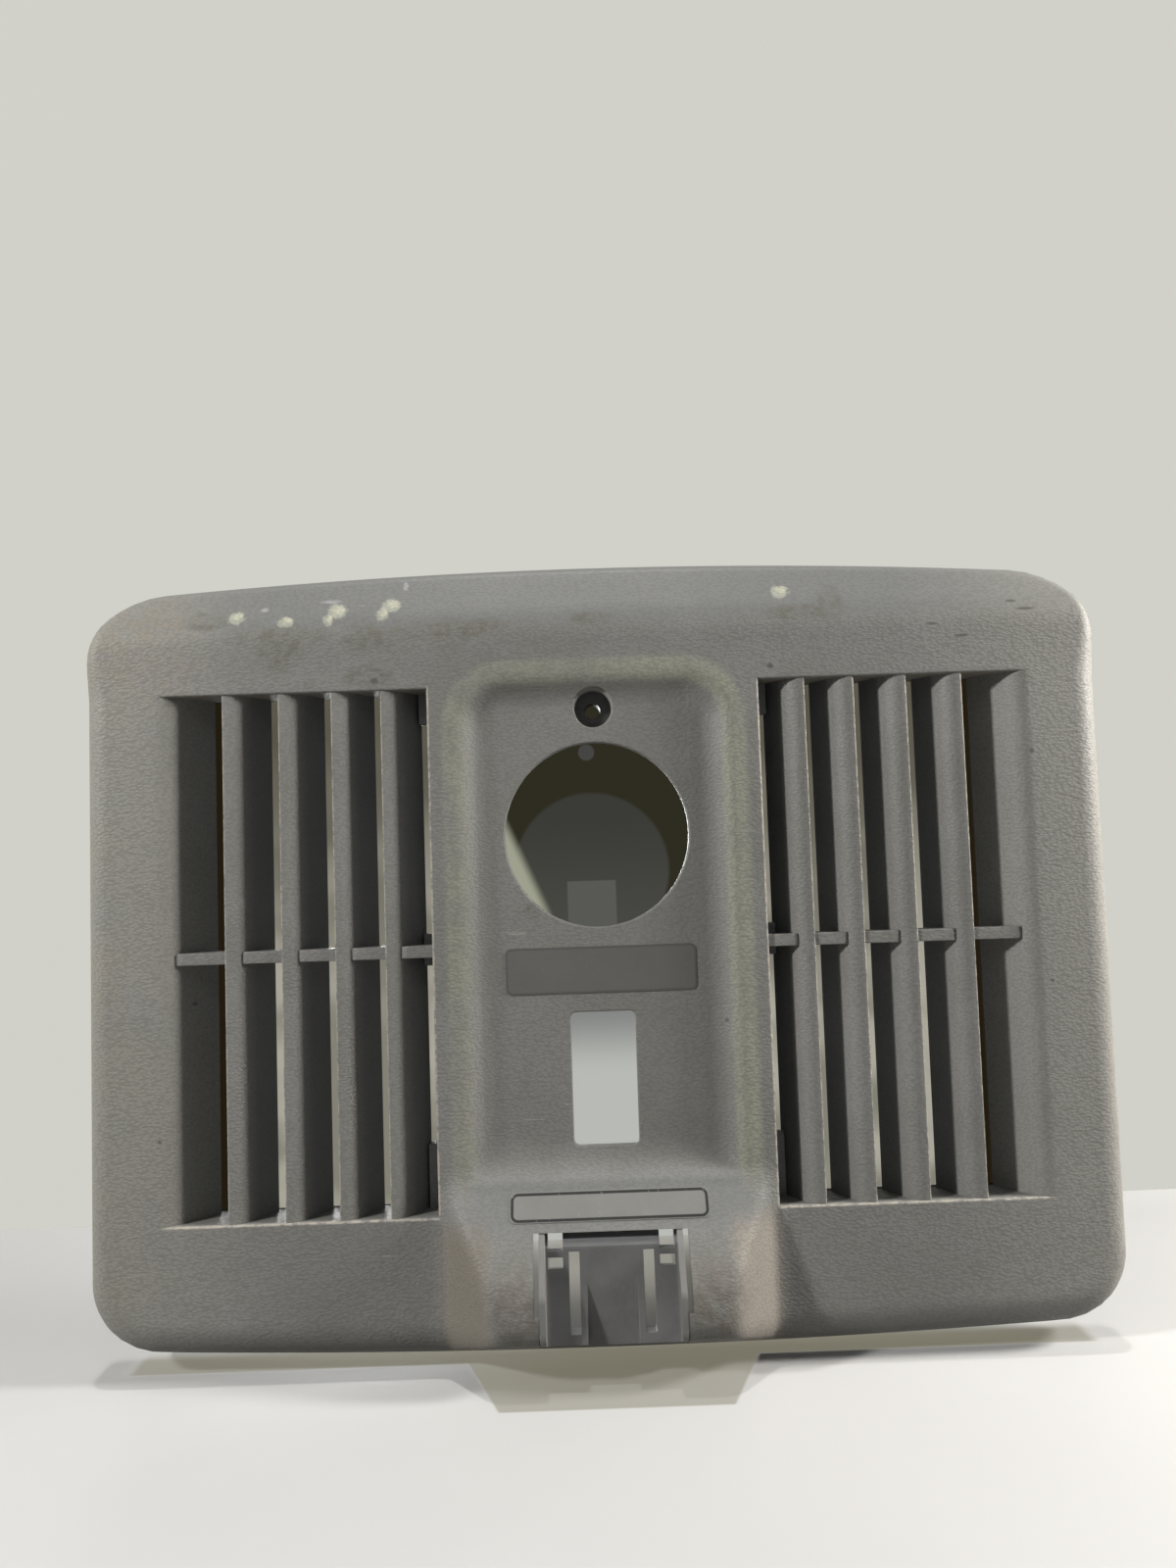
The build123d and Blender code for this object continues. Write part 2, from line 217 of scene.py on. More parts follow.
class Finish:
    """A node material under construction, with its position in millimetres at hand."""

    def __init__(self, name):
        self.material = bpy.data.materials.new(name)
        self.material.use_nodes = True
        self.tree = self.material.node_tree
        self.tree.nodes.clear()
        self.shader = self.node("ShaderNodeBsdfPrincipled")
        self.output = self.node("ShaderNodeOutputMaterial")
        self.show(self.shader.outputs[0])
        coordinates = self.node("ShaderNodeTexCoord")
        self.uv = coordinates.outputs["UV"]
        scaled = self.node("ShaderNodeVectorMath", {"operation": "SCALE"},
                           {0: coordinates.outputs["Object"], "Scale": 1.0 / MM})
        self.place = scaled.outputs[0]
        self.x, self.y, self.z = self.parts(self.place)
        self.facing_x, self.facing_y, self.facing_z = self.parts(coordinates.outputs["Normal"])
        self.colour = None

    def node(self, kind, settings=None, values=None):
        return add_node(self.tree, kind, settings, values)

    def show(self, shader):
        """Make this shader what the surface shows."""
        feed(self.tree, self.output.inputs["Surface"], shader)

    def parts(self, vector):
        split = self.node("ShaderNodeSeparateXYZ", {}, {0: vector})
        return [Number(self, socket) for socket in split.outputs]

    def stretched(self, stretch):
        """The position, scaled along each axis where a stretch is given."""
        if stretch is None:
            return self.place
        return self.node("ShaderNodeVectorMath", {"operation": "MULTIPLY"}, {0: self.place, 1: stretch}).outputs[0]

    def noise(self, size, detail, roughness, stretch=None):
        """Noise whose blotches are about as wide as size, in millimetres."""
        node = self.node("ShaderNodeTexNoise", {}, {"Vector": self.stretched(stretch), "Scale": 1.0 / size,
                                                    "Detail": detail, "Roughness": roughness})
        return Number(self, node.outputs["Fac"])

    def cells(self, size, stretch=None, randomness=1.0):
        """Distance from the middle of the nearest of many cells, about as wide as size."""
        node = self.node("ShaderNodeTexVoronoi", {"feature": "F1"},
                         {"Vector": self.stretched(stretch), "Scale": 1.0 / size, "Randomness": randomness})
        return Number(self, node.outputs["Distance"])

    def mix(self, amount, first, second):
        node = self.node("ShaderNodeMix", {"data_type": "RGBA"}, {0: amount, 6: first, 7: second})
        return node.outputs[2]

    def lay(self, amount, tone):
        """Lay one more tone over the colour so far."""
        self.colour = self.mix(amount, self.colour, tone)

    def tint(self, colour, value):
        """Scale a colour by a value."""
        node = self.node("ShaderNodeVectorMath", {"operation": "SCALE"}, {0: colour, "Scale": value})
        return node.outputs[0]

    def spot(self, x, z, width, height, soft, ragged=None):
        """A soft round mark at one place of the front: 1 inside it, 0 outside."""
        reach = diagonal((self.x - x) / (width / 2), (self.z - z) / (height / 2))
        if ragged is not None:
            reach = reach + ragged
        return reach.step(1.0 + soft, 1.0 - soft)

    def glow(self, colour):
        """A shader of one even light, whatever the lamps do."""
        return self.node("ShaderNodeEmission", {}, {"Color": colour}).outputs[0]

    def blend(self, amount, first, second):
        """Mix two shaders."""
        return self.node("ShaderNodeMixShader", {}, [amount, first, second]).outputs[0]

    def bump(self, height, distance, strength):
        node = self.node("ShaderNodeBump", {}, {"Height": height, "Distance": distance * MM,
                                                "Strength": strength})
        feed(self.tree, self.shader.inputs["Normal"], node.outputs[0])

    def finished(self, roughness):
        """Set the colour and roughness worked out so far, and return the material."""
        feed(self.tree, self.shader.inputs["Base Color"], self.colour)
        feed(self.tree, self.shader.inputs["Roughness"], roughness)
        return self.material


# ------------------------------------------------------------------- materials
# Tones of the grained plastic, of what lies on it, and of the shade and highlights painted on it
grey_deep, grey_plain, pit_tone = (0.198, 0.197, 0.184), (0.228, 0.226, 0.216), (0.100, 0.098, 0.092)
seat_shade_tone, rubbed_shade_tone, dust_tone = (0.040, 0.036, 0.027), (0.180, 0.187, 0.190), (0.420, 0.412, 0.380)
aged_tone, right_rim_highlight_tone, painted_side_light_tone = (0.350, 0.318, 0.262), (0.500, 0.465, 0.425), (0.300, 0.294, 0.268)
yellowed_tone, corner_tone = (0.295, 0.272, 0.222), (0.290, 0.245, 0.190)
grime_tone, stain_tone, wall_foot_shade_tone = (0.112, 0.103, 0.070), (0.150, 0.143, 0.112), (0.120, 0.118, 0.108)
ridge_highlight_tone, right_ridge_highlight_tone = (0.325, 0.326, 0.262), (0.365, 0.368, 0.290)
worn_lit_flank_tone, left_flank_shade_tone, right_flank_highlight_tone = (0.310, 0.262, 0.212), (0.165, 0.143, 0.108), (0.360, 0.318, 0.272)
scuff_tone, scraped_tone, hair_tone = (0.105, 0.086, 0.066), (0.300, 0.262, 0.220), (0.520, 0.505, 0.470)
fleck_tone, nick_tone = (0.480, 0.470, 0.480), (0.048, 0.044, 0.040)
paint_tone, paint_heart_tone = (0.500, 0.510, 0.420), (0.600, 0.595, 0.455)
away_shade_tone, deep_left_shade_tone, deep_right_shade_tone = (0.075, 0.075, 0.073), (0.100, 0.106, 0.120), (0.070, 0.075, 0.084)
soffit_shade_tone, edge_highlight_tone = (0.225, 0.185, 0.135), (0.500, 0.450, 0.385)

# Marks on the front of the cover: middle in x and z, width and height
grime_marks = (
    (-108.0, 28.0, 40.0, 6.5), (-108.0, 23.0, 14.0, 13.0), (-78.0, 27.0, 18.0, 9.0), (-78.0, 13.0, 16.0, 7.0),
    (-48.0, 29.0, 46.0, 7.0), (0.0, 31.5, 13.0, 4.5), (75.0, 31.0, 26.0, 6.0), (84.0, 36.0, 9.0, 10.0),
    (-23.5, -70.0, 5.0, 5.0), (-98.0, 10.8, 4.0, 2.4))
fleck_marks = ((-91.0, 41.0, 6.5, 1.2), (-114.0, 38.4, 2.6, 1.6), (-65.0, 46.5, 1.6, 3.0))
paint_marks = (
    (-123.6, 35.4, 5.6, 4.6), (-106.3, 33.4, 6.2, 3.9), (-88.4, 37.0, 6.4, 5.4), (-69.6, 38.8, 6.4, 5.0),
    (-91.5, 33.6, 3.4, 4.6), (-72.5, 35.4, 4.2, 5.0), (67.2, 39.7, 6.2, 4.6))
nick_marks = (
    (152.0, 30.0, 6.0, 1.1), (147.5, 33.0, 3.6, 0.9), (129.0, 21.0, 4.6, 1.1), (119.0, 25.5, 3.4, 0.9),
    (62.0, 12.4, 2.2, 1.8), (151.5, -20.0, 1.6, 1.6), (-29.5, -36.0, 1.2, 1.2), (154.0, -99.0, 1.2, 1.2),
    (-141.0, -98.0, 1.3, 1.3), (-75.5, 11.4, 2.4, 2.0), (42.5, -109.0, 1.3, 1.3), (-151.0, -143.0, 1.2, 1.4))


def age_and_highlight(f, patchy):
    """Sides yellowed by the sun and paler towards the outside, with a painted highlight on the right flank."""
    aged = abs(f.facing_x).step(0.30, 0.95) * abs(f.x).step(160.0, 170.0)
    f.lay(aged * (0.30 + 0.4 * patchy), aged_tone)
    # painted highlight on the right flank, where the right lamp falls
    right_rim_highlight = f.facing_x.step(0.10, 0.55) * f.x.step(150.0, 162.0)
    f.lay(right_rim_highlight * f.noise(30.0, 3.0, 0.6).step(0.1, 0.5) * 0.62, right_rim_highlight_tone)


def rub_and_shade(f):
    """Top edge and foot of the tray, worn smooth, with painted shade that darkens these upward-facing bands; returns
    where.
    """
    foot = f.z.step(-156.0, -162.0) * f.z.step(-178.0, -171.5) * abs(f.x).step(50.0, 44.0)
    rubbed_and_shaded = f.z.step(28.0, 33.5).most(foot)
    # painted shade on the upward-facing top band and the tray foot
    f.lay(rubbed_and_shaded * 0.62, rubbed_shade_tone)
    return rubbed_and_shaded


def yellow_and_brighten(f, patchy):
    """The front: painted light makes it paler towards the sides; yellower towards the sides and stained at one
    corner.
    """
    front = f.facing_y.step(-0.2, -0.75)
    # painted light: the front paler towards both sides, nearer the side lamps
    f.lay(abs(f.x).step(104.0, 168.0) * front * (0.45 + 0.35 * patchy), painted_side_light_tone)
    yellowed = (-1.0 * f.x - 120.0).step(0.0, 55.0) * f.noise(24.0, 3.0, 0.6).step(0.3, 0.7)
    f.lay(yellowed * 0.45 * front, yellowed_tone)
    corner = f.spot(-160.0, 28.0, 46.0, 34.0, 0.7) * f.noise(7.0, 4.0, 0.7).step(0.42, 0.66)
    f.lay(corner * 0.55, corner_tone)


def soil(f):
    """Grime in patches above the windows, in a wide brown stain."""
    broken = f.noise(5.0, 5.0, 0.75).step(0.44, 0.60)
    patches = [f.spot(-134.0, 34.5, 15.0, 7.0, 0.35)] + [f.spot(*mark, 0.5) for mark in grime_marks]
    f.lay(any_of(patches) * (0.25 + 0.75 * broken) * 0.66, grime_tone)
    stain = f.spot(-108.0, 30.0, 90.0, 30.0, 0.8) * f.noise(11.0, 4.0, 0.7).step(0.45, 0.7)
    f.lay(stain * 0.30, stain_tone)


def wear_and_shade_tray(f, patchy):
    """Painted highlight on the ridge round the tray, painted shade at the foot of its walls, and the console's worn
    flanks, painted lighter, darker on the left and lighter still on the right.
    """
    edge = past_edge(abs(f.x), f.z, tray_half, tray_top, tray_corner)
    # painted highlight on the tray's ridge and walls, stronger on the right
    ridge = edge.step(-3.5, -0.5) * edge.step(7.5, 4.5) * f.z.step(-168.0, -150.0)
    f.lay(ridge * (0.26 + 0.40 * patchy.step(0.3, 0.62)), ridge_highlight_tone)
    f.lay(ridge * f.x.step(0.0, 20.0) * 0.35, right_ridge_highlight_tone)
    # painted shade on the tray floor at the foot of its walls
    beside_wall = abs(f.x).step(32.0, 38.0) * abs(f.x).step(43.0, 40.5)
    f.lay(beside_wall * f.z.step(-160.0, -150.0) * f.z.step(8.0, 2.0) * 0.40, wall_foot_shade_tone)
    # worn flanks painted lighter as lit, with painted shade on the left flank and a painted highlight on the right
    flank = abs(f.x).step(37.0, 44.0) * abs(f.x).step(60.0, 53.0) * f.z.step(-168.0, -180.0)
    f.lay(flank * (0.15 + 0.35 * patchy), worn_lit_flank_tone)
    f.lay(flank * f.x.step(-20.0, -30.0) * 0.55, left_flank_shade_tone)
    f.lay(flank * f.x.step(20.0, 30.0) * 0.62, right_flank_highlight_tone)


def scuff(f):
    """Scuffs on both sides of the pocket; returns how much rougher they are."""
    scraped = f.noise(1.7, 5.0, 0.8).step(0.50, 0.62)
    scuffs = f.spot(-31.0, -196.0, 20.0, 24.0, 0.6).most(f.spot(33.0, -196.0, 19.0, 24.0, 0.6))
    f.lay(scuffs * f.noise(5.0, 3.0, 0.6).step(0.3, 0.6) * 0.62, scuff_tone)
    f.lay(scuffs * scraped * 0.36, scraped_tone)
    return 0.18 * scuffs * scraped


def splash(f, fine):
    """Pale flecks, spots of old paint and dark nicks."""
    ragged = (f.noise(2.4, 3.0, 0.7) - 0.5) * 1.3
    for mark in fleck_marks:
        f.lay(f.spot(*mark, 0.5, ragged) * 0.6, fleck_tone)
    for x, z, width, height in paint_marks:
        f.lay(f.spot(x, z, width, height, 0.30, ragged) * (0.50 + 0.45 * fine), paint_tone)
        heart = f.spot(x + 0.6, z + 0.6, width * 0.55, height * 0.55, 0.35, ragged)
        f.lay(heart * 0.80, paint_heart_tone)
    for mark in nick_marks:
        f.lay(f.spot(*mark, 0.5) * 0.7, nick_tone)


def scratch(f):
    """Pale hairlines in a few places, and more of them at the lower left."""
    hairs = f.noise(2.2, 3.0, 0.7, stretch=(0.10, 1.0, 1.6)).step(0.690, 0.715)
    hairs = hairs * f.noise(45.0, 2.0, 0.5).step(0.50, 0.64)
    low_left = f.noise(1.5, 4.0, 0.8, stretch=(0.30, 1.0, 0.9)).step(0.60, 0.66)
    low_left = low_left * f.spot(-150.0, -201.0, 44.0, 26.0, 0.6)
    f.lay(hairs.most(low_left) * 0.42, hair_tone)


def window_edges(f):
    """The rims of both windows at their inner and lower sides."""
    inside = abs(f.x).step(56.6, 57.1) * abs(f.x).step(151.0, 147.0)
    tall = f.z.step(-172.6, -172.0) * f.z.step(9.4, 8.6)
    upright_edge = abs(abs(f.x) - (window_inner - rim_round / 2)).step(0.55, 0.20)
    low_edge = abs(f.z - (window_low - rim_round / 2)).step(0.55, 0.20)
    return (upright_edge * tall).most(low_edge * inside)


def vane_edges(f):
    """The front corners of the vanes."""
    return any_of(abs(abs(f.x) - (vane_front(number) - 0.12)).step(0.42, 0.18)
                  for number in range(1, vane_count + 1))


def shade_vanes(f):
    """Painted shade deep between the vanes, and on the sides that face away from the middle."""
    # painted shade: darker vane sides facing away from the middle, and deep between the vanes
    away = (f.facing_x * f.x).step(4.0, 30.0) * f.y.step(-18.6, -17.0)
    f.lay(away * 0.60, away_shade_tone)
    f.lay(f.y.step(-16.5, -12.5) * f.x.step(20.0, -20.0) * 0.50, deep_left_shade_tone)
    f.lay(f.y.step(-14.5, -12.5) * f.x.step(-20.0, 20.0) * 0.60, deep_right_shade_tone)


def grained_plastic(name, worn):
    """Grey moulded plastic with a fine leather grain and painted shade in the screw seat; if worn, the cover's own
    marks with its painted shade and highlights, else painted shade between the vanes and painted highlights on their
    edges.
    """
    f = Finish(name)
    fine, patchy = f.noise(2.6, 3.0, 0.6), f.noise(16.0, 3.0, 0.65)
    pits = f.cells(0.80, stretch=(0.55, 1.0, 1.0))
    grain = pits * 0.9 + 0.45 * f.noise(0.8, 2.0, 0.6)
    rough = 0.50 + 0.16 * fine
    f.colour = f.mix(f.noise(38.0, 3.0, 0.6).step(0.35, 0.68), grey_deep, grey_plain)
    # painted shade inside the screw seat's recess
    f.lay(f.spot(0.0, 0.0, 13.4, 13.4, 0.04) * f.y.step(-14.6, -12.0) * 0.72, seat_shade_tone)
    if worn:
        clean = f.colour
        age_and_highlight(f, patchy)
        rubbed_and_shaded = rub_and_shade(f)
        grain = grain * (1.0 - 0.72 * rubbed_and_shaded)
        rough = rough - 0.10 * rubbed_and_shaded
        yellow_and_brighten(f, patchy)
        soil(f)
        wear_and_shade_tray(f, patchy)
        rough = rough + scuff(f)
        splash(f, fine)
        scratch(f)
        f.lay(f.facing_y.step(0.05, 0.45), clean)
    f.lay(f.noise(0.9, 2.0, 0.6).step(0.68, 0.76) * 0.20, dust_tone)
    f.lay(pits.step(0.35, 0.70) * 0.26, pit_tone)
    edge_wear_and_glint = f.noise(3.0, 3.0, 0.7).step(0.36, 0.58) * f.y.step(-18.4, -19.0)
    if worn:
        # painted warm shade on the downward-facing underside of each window's top wall
        soffit = f.facing_z.step(-0.4, -0.8) * f.z.step(4.0, 6.0) * f.y.step(-20.0, -18.6)
        f.lay(soffit * 0.55, soffit_shade_tone)
        edges = window_edges(f)
    else:
        shade_vanes(f)
        edges = vane_edges(f)
    # worn window rims and vane edges, with a painted highlight along them
    f.lay(edges * edge_wear_and_glint * 0.60, edge_highlight_tone)
    f.bump(grain, 0.15, 0.9)
    return f.finished(rough)


def smooth_plastic(name):
    """Satin grey insert, scratched along its length, with a painted highlight on its ledge and a painted shadow
    beside its left wall.
    """
    f = Finish(name)
    cloudy = f.noise(12.0, 3.0, 0.6)
    f.colour = f.mix(cloudy.step(0.3, 0.7), (0.118, 0.119, 0.120), (0.150, 0.150, 0.150))
    # painted highlight on the upward-facing ledge at the pocket's top
    ledge = f.z.step(-181.0, -178.0)
    f.lay(ledge * 0.75, (0.232, 0.236, 0.245))
    side_walls = abs(f.x).step(20.6, 22.2)
    f.lay(side_walls * 0.6, (0.235, 0.228, 0.215))
    # painted shadow on the floor beside the pocket's left wall
    left_wall_shadow = f.x.step(-11.0, -14.0) * f.x.step(-21.5, -20.0) * f.z.step(-186.0, -190.0)
    f.lay(left_wall_shadow * 0.55, (0.050, 0.051, 0.054))
    scratches = f.noise(1.4, 3.0, 0.7, stretch=(2.0, 1.0, 0.12)).step(0.63, 0.68)
    f.lay(scratches * 0.22, (0.300, 0.300, 0.295))
    dust = f.noise(0.8, 2.0, 0.6).step(0.66, 0.74)
    f.lay(dust * 0.22, (0.330, 0.320, 0.290))
    f.bump(f.noise(0.6, 2.0, 0.6) + 0.6 * f.noise(5.0, 2.0, 0.5), 0.02, 0.7)
    return f.finished(0.38 + 0.16 * cloudy)


def label_film(name, plain, line_tone, size, inset, line, coverage):
    """A thin sticker, with a fine line set in from its rounded border."""
    f = Finish(name)
    u, v, _ = f.parts(f.uv)
    past_line = past_edge(abs(u), abs(v), size[0] / 2 - inset, size[1] / 2 - inset, label_round)
    border = abs(past_line).step(line, line * 0.6)
    cloudy = f.noise(9.0, 3.0, 0.6)
    f.colour = f.tint(plain, 0.9 + 0.22 * cloudy)
    specks = f.noise(0.9, 2.0, 0.6).step(0.66, 0.72)
    f.lay(specks * 0.25, (0.38, 0.37, 0.34))
    printed = f.noise(1.6, 3.0, 0.7).step(0.26, 0.38)
    f.lay(border * printed * coverage, line_tone)
    f.bump(f.cells(1.1) * 0.5 + f.noise(6.0, 2.0, 0.5), 0.03, 0.6)
    return f.finished(0.34 + 0.2 * cloudy)


def seal_foam(name):
    """Dark open-cell foam, dusty where it was squeezed."""
    f = Finish(name)
    pores = f.cells(0.9, randomness=0.9)
    soft = f.noise(7.0, 3.0, 0.6)
    f.colour = f.mix(pores.step(0.2, 0.6), (0.030, 0.030, 0.031), (0.058, 0.057, 0.055))
    f.lay(soft.step(0.55, 0.75) * 0.35, (0.120, 0.115, 0.100))
    f.bump(pores + 0.5 * f.noise(0.5, 2.0, 0.6), 0.35, 0.9)
    return f.finished(0.92 - 0.08 * soft)


def clip_steel(name):
    """Bright spring steel with rolling marks and a little tarnish."""
    f = Finish(name)
    rolled = f.noise(0.5, 3.0, 0.6, stretch=(0.08, 1.0, 1.0))
    tarnish = f.noise(3.5, 4.0, 0.7).step(0.5, 0.72)
    f.colour = f.mix(tarnish * 0.5, (0.56, 0.55, 0.53), (0.34, 0.29, 0.22))
    f.shader.inputs["Metallic"].default_value = 1.0
    f.bump(rolled, 0.01, 0.6)
    return f.finished(0.26 + 0.22 * rolled + 0.15 * tarnish)


# ------------------------------------------------------------ shape of the skin
def soft_min(a, b, blend):
    """The lower of two surfaces, rounded where they meet."""
    share = np.clip(0.5 + 0.5 * (b - a) / blend, 0, 1)
    return b * (1 - share) + a * share - blend * share * (1 - share)


def soft_max(a, b, blend):
    """The higher of two surfaces, rounded where they meet."""
    return -soft_min(-a, -b, blend)


def tray_fall(x, z):
    """Depth of the tray below the face."""
    over_x = np.abs(x) - (tray_half - tray_corner)
    over_z = z - (tray_top - tray_corner)
    reach = (np.hypot(np.maximum(over_x, 0), np.maximum(over_z, 0))
             + np.minimum(np.maximum(over_x, over_z), 0) - tray_corner)
    walls = -reach * tray_depth / tray_slope
    step = (z - tray_bottom) * tray_depth / tray_step
    fall = soft_max(soft_min(walls, step, tray_foot_blend), 0.0 * x, tray_brink_blend)
    return soft_min(fall, tray_depth + 0.0 * x, tray_floor_blend)


def console_rise(x, z):
    """Height of the console's planes above the rear rim, below the face outside it."""
    ramp = face_height + (ramp_top - z) * console_depth / (ramp_top - ramp_bottom)
    flank = face_height + ((console_base_half - np.abs(x)) * console_depth
                           / (console_base_half - console_front_half))
    top = face_height + console_depth + 0.0 * x
    return soft_min(soft_min(ramp, flank, console_blend), top, console_blend)


def height(x, z):
    """Height of the front surface above the rear rim, as if its edges were square."""
    plain = soft_min(face_height + 0.0 * x, face_height - slope_fall * (z - slope_start), slope_blend)
    return soft_max(plain - tray_fall(x, z), console_rise(x, z), console_foot_blend)


def inner_height(x, z):
    """Height of the inner surface, one wall behind the front one."""
    reach = 0.4
    steep_x = (height(x + reach, z) - height(x - reach, z)) / (2 * reach)
    steep_z = (height(x, z + reach) - height(x, z - reach)) / (2 * reach)
    return height(x, z) - wall * np.sqrt(1 + steep_x ** 2 + steep_z ** 2)


def arc_points(centre, radius, start, end, count):
    """Points of an arc, with the normals that point at its centre."""
    angles = np.linspace(start, end, count)
    normals = np.stack([np.cos(angles), np.sin(angles)], 1)
    return np.asarray(centre) + radius * normals, -normals


def outline_table():
    """Dense points of the outline at face level, from the middle of the bottom edge round to
    the left and back, with inward normals and the distance along it; then the levels where
    the straight side ends, and half of the length of each corner's arc."""
    edge_points, corner_points = 60, 40
    top_radius = (half_width ** 2 + top_crown ** 2) / (2 * top_crown)
    low_radius = (half_width ** 2 + bottom_crown ** 2) / (2 * bottom_crown)
    top_centre, low_centre = cover_top - top_radius, cover_bottom + low_radius
    high_x = half_width - top_corner
    high_z = top_centre + sqrt((top_radius - top_corner) ** 2 - high_x ** 2)
    low_x = half_width - bottom_corner
    low_z = low_centre - sqrt((low_radius - bottom_corner) ** 2 - low_x ** 2)
    high_turn = atan2(high_z - top_centre, high_x)
    low_turn = atan2(low_z - low_centre, low_x)
    parts = [
        arc_points((0, low_centre), low_radius, -pi / 2, low_turn, edge_points),
        arc_points((low_x, low_z), bottom_corner, low_turn, 0.0, corner_points),
        (np.stack([np.full(edge_points, half_width), np.linspace(low_z, high_z, edge_points)], 1),
         np.tile([-1.0, 0.0], (edge_points, 1))),
        arc_points((high_x, high_z), top_corner, 0.0, high_turn, corner_points),
        arc_points((0, top_centre), top_radius, high_turn, pi / 2, edge_points),
    ]
    places = np.concatenate([part[0][:-1] for part in parts] + [parts[-1][0][-1:]])
    normals = np.concatenate([part[1][:-1] for part in parts] + [parts[-1][1][-1:]])
    mirror = np.array([-1.0, 1.0])
    places = np.concatenate([places, places[-2::-1] * mirror])
    normals = np.concatenate([normals, normals[-2::-1] * mirror])
    run = np.concatenate([[0], np.cumsum(np.hypot(*np.diff(places, axis=0).T))])
    return places, normals, run, (low_z, high_z), (-bottom_corner * low_turn / 2, top_corner * high_turn / 2)


outline, outline_normals, outline_run, side_ends, half_arcs = outline_table()
frame_half, frame_low, frame_high = 155.0, -176.0, 12.0
steady_x, steady_low, steady_high = 112.0, -150.0, -20.0


def run_at(x=None, z=None, top=False):
    """Distance along the right half of the outline at one x of an edge or one z of the side."""
    middle = len(outline) // 2
    half, run = outline[:middle + 1], outline_run[:middle + 1]
    if z is not None:
        rows = (half[:, 0] > half_width - 1e-6)
        return float(np.interp(z, half[rows, 1], run[rows]))
    rows = (half[:, 1] > 0) if top else (half[:, 1] < bottom_zone)
    order = np.argsort(half[rows, 0])
    return float(np.interp(x, half[rows, 0][order], run[rows][order]))


def edge_runs(perimeter):
    """Match distances along the inner frame with distances along the outline."""
    (low_z, high_z), (low_half_arc, high_half_arc) = side_ends, half_arcs
    tall = frame_high - frame_low
    marks = [
        (0.0, 0.0),
        (steady_x, run_at(x=steady_x)),
        (frame_half, run_at(z=low_z) - low_half_arc),
        (frame_half + steady_low - frame_low, run_at(z=steady_low)),
        (frame_half + steady_high - frame_low, run_at(z=steady_high)),
        (frame_half + tall, run_at(z=high_z) + high_half_arc),
        (2 * frame_half + tall - steady_x, run_at(x=steady_x, top=True)),
        (2 * frame_half + tall, outline_run[len(outline) // 2]),
    ]
    whole_frame, whole_outline = 2 * marks[-1][0], 2 * marks[-1][1]
    marks += [(whole_frame - a, whole_outline - b) for a, b in marks[-2::-1]]
    return np.interp(perimeter, *zip(*marks))


def edge_place(runs, inset, y):
    """Points of the outline at a depth, moved inwards; the raked bottom rises towards the front."""
    base = np.stack([np.interp(runs, outline_run, outline[:, k]) for k in (0, 1)], 1)
    normal = np.stack([np.interp(runs, outline_run, outline_normals[:, k]) for k in (0, 1)], 1)
    normal /= np.hypot(*normal.T)[:, None]
    lift = np.clip((rake_start - base[:, 1]) / rake_blend, 0, 1) * (-face_height - y) * rake
    place = base + normal * np.reshape(inset, (-1, 1))
    return place[:, 0], place[:, 1] + lift


class Skin:
    """Collects the points and faces of the shell."""

    def __init__(self):
        self.points, self.faces = [], []

    def add(self, x, y, z):
        start = len(self.points)
        x, y, z = np.broadcast_arrays(x, y, z)
        self.points += list(zip(x.ravel(), y.ravel(), z.ravel()))
        return np.arange(start, len(self.points)).reshape(x.shape)

    def band(self, first, second):
        """Join two closed loops of as many points with quads."""
        for a, b, c, d in zip(first, np.roll(first, -1), np.roll(second, -1), second):
            self.faces.append((int(a), int(b), int(c), int(d)))

    def grow(self, loop, x, y, z):
        """Add the next loop, join it to the last one and return it."""
        following = self.add(x, y, z)
        self.band(loop, following)
        return following


def grid_lines():
    """Columns and rows of the middle grid, closest where the tray and the console curve."""
    near = list(np.arange(0, 28, 2.0)) + list(np.arange(28, 56, 1.0))
    across = list(np.linspace(window_inner - rim_round, window_brink, 25))
    right = near[1:] + across + [frame_half]
    columns = np.array([-v for v in reversed(right)] + [0.0] + right)
    hole_low, hole_high = window_low - rim_round, window_high + rim_round
    rows = np.concatenate([[frame_low], np.arange(-175, -173, 1.0), [hole_low], np.arange(-171, -154, 1.0),
                           np.linspace(-154, -9, 56), np.arange(-8, 8, 1.0), [hole_high, 10.2, frame_high]])
    return columns, rows


def nearest(lines, value):
    """Number of the grid line that is nearest to a value."""
    return int(np.argmin(np.abs(lines - value)))


columns, rows = grid_lines()
row_low, row_high = nearest(rows, window_low - rim_round), nearest(rows, window_high + rim_round)
column_ranges = {
    side: [nearest(columns, v) for v in sorted((side * (window_inner - rim_round), side * window_brink))]
    for side in (-1, 1)
}


def end_wall_reach(depth, radius):
    """Outer end of a window at one depth: the wall leans in after a bend of this radius."""
    brink = window_outer + end_wall_round * tan(end_wall_turn / 2)
    bend_depth = end_wall_round - radius * cos(end_wall_turn)
    if depth < bend_depth:
        return brink - sqrt(radius ** 2 - (end_wall_round - depth) ** 2)
    return brink - radius * sin(end_wall_turn) - (depth - bend_depth) * end_wall_lean


def front_profile(depth):
    """How far a window's rim widens it at one depth, and the reach of its outer wall."""
    growth = rim_round - sqrt(max(rim_round ** 2 - (rim_round - min(depth, rim_round)) ** 2, 0))
    return growth, end_wall_reach(depth, end_wall_round)


def back_profile(depth):
    """The same behind the wall: the collar's outside and the back of the outer wall."""
    return collar_wall, end_wall_reach(depth, end_wall_round - wall)


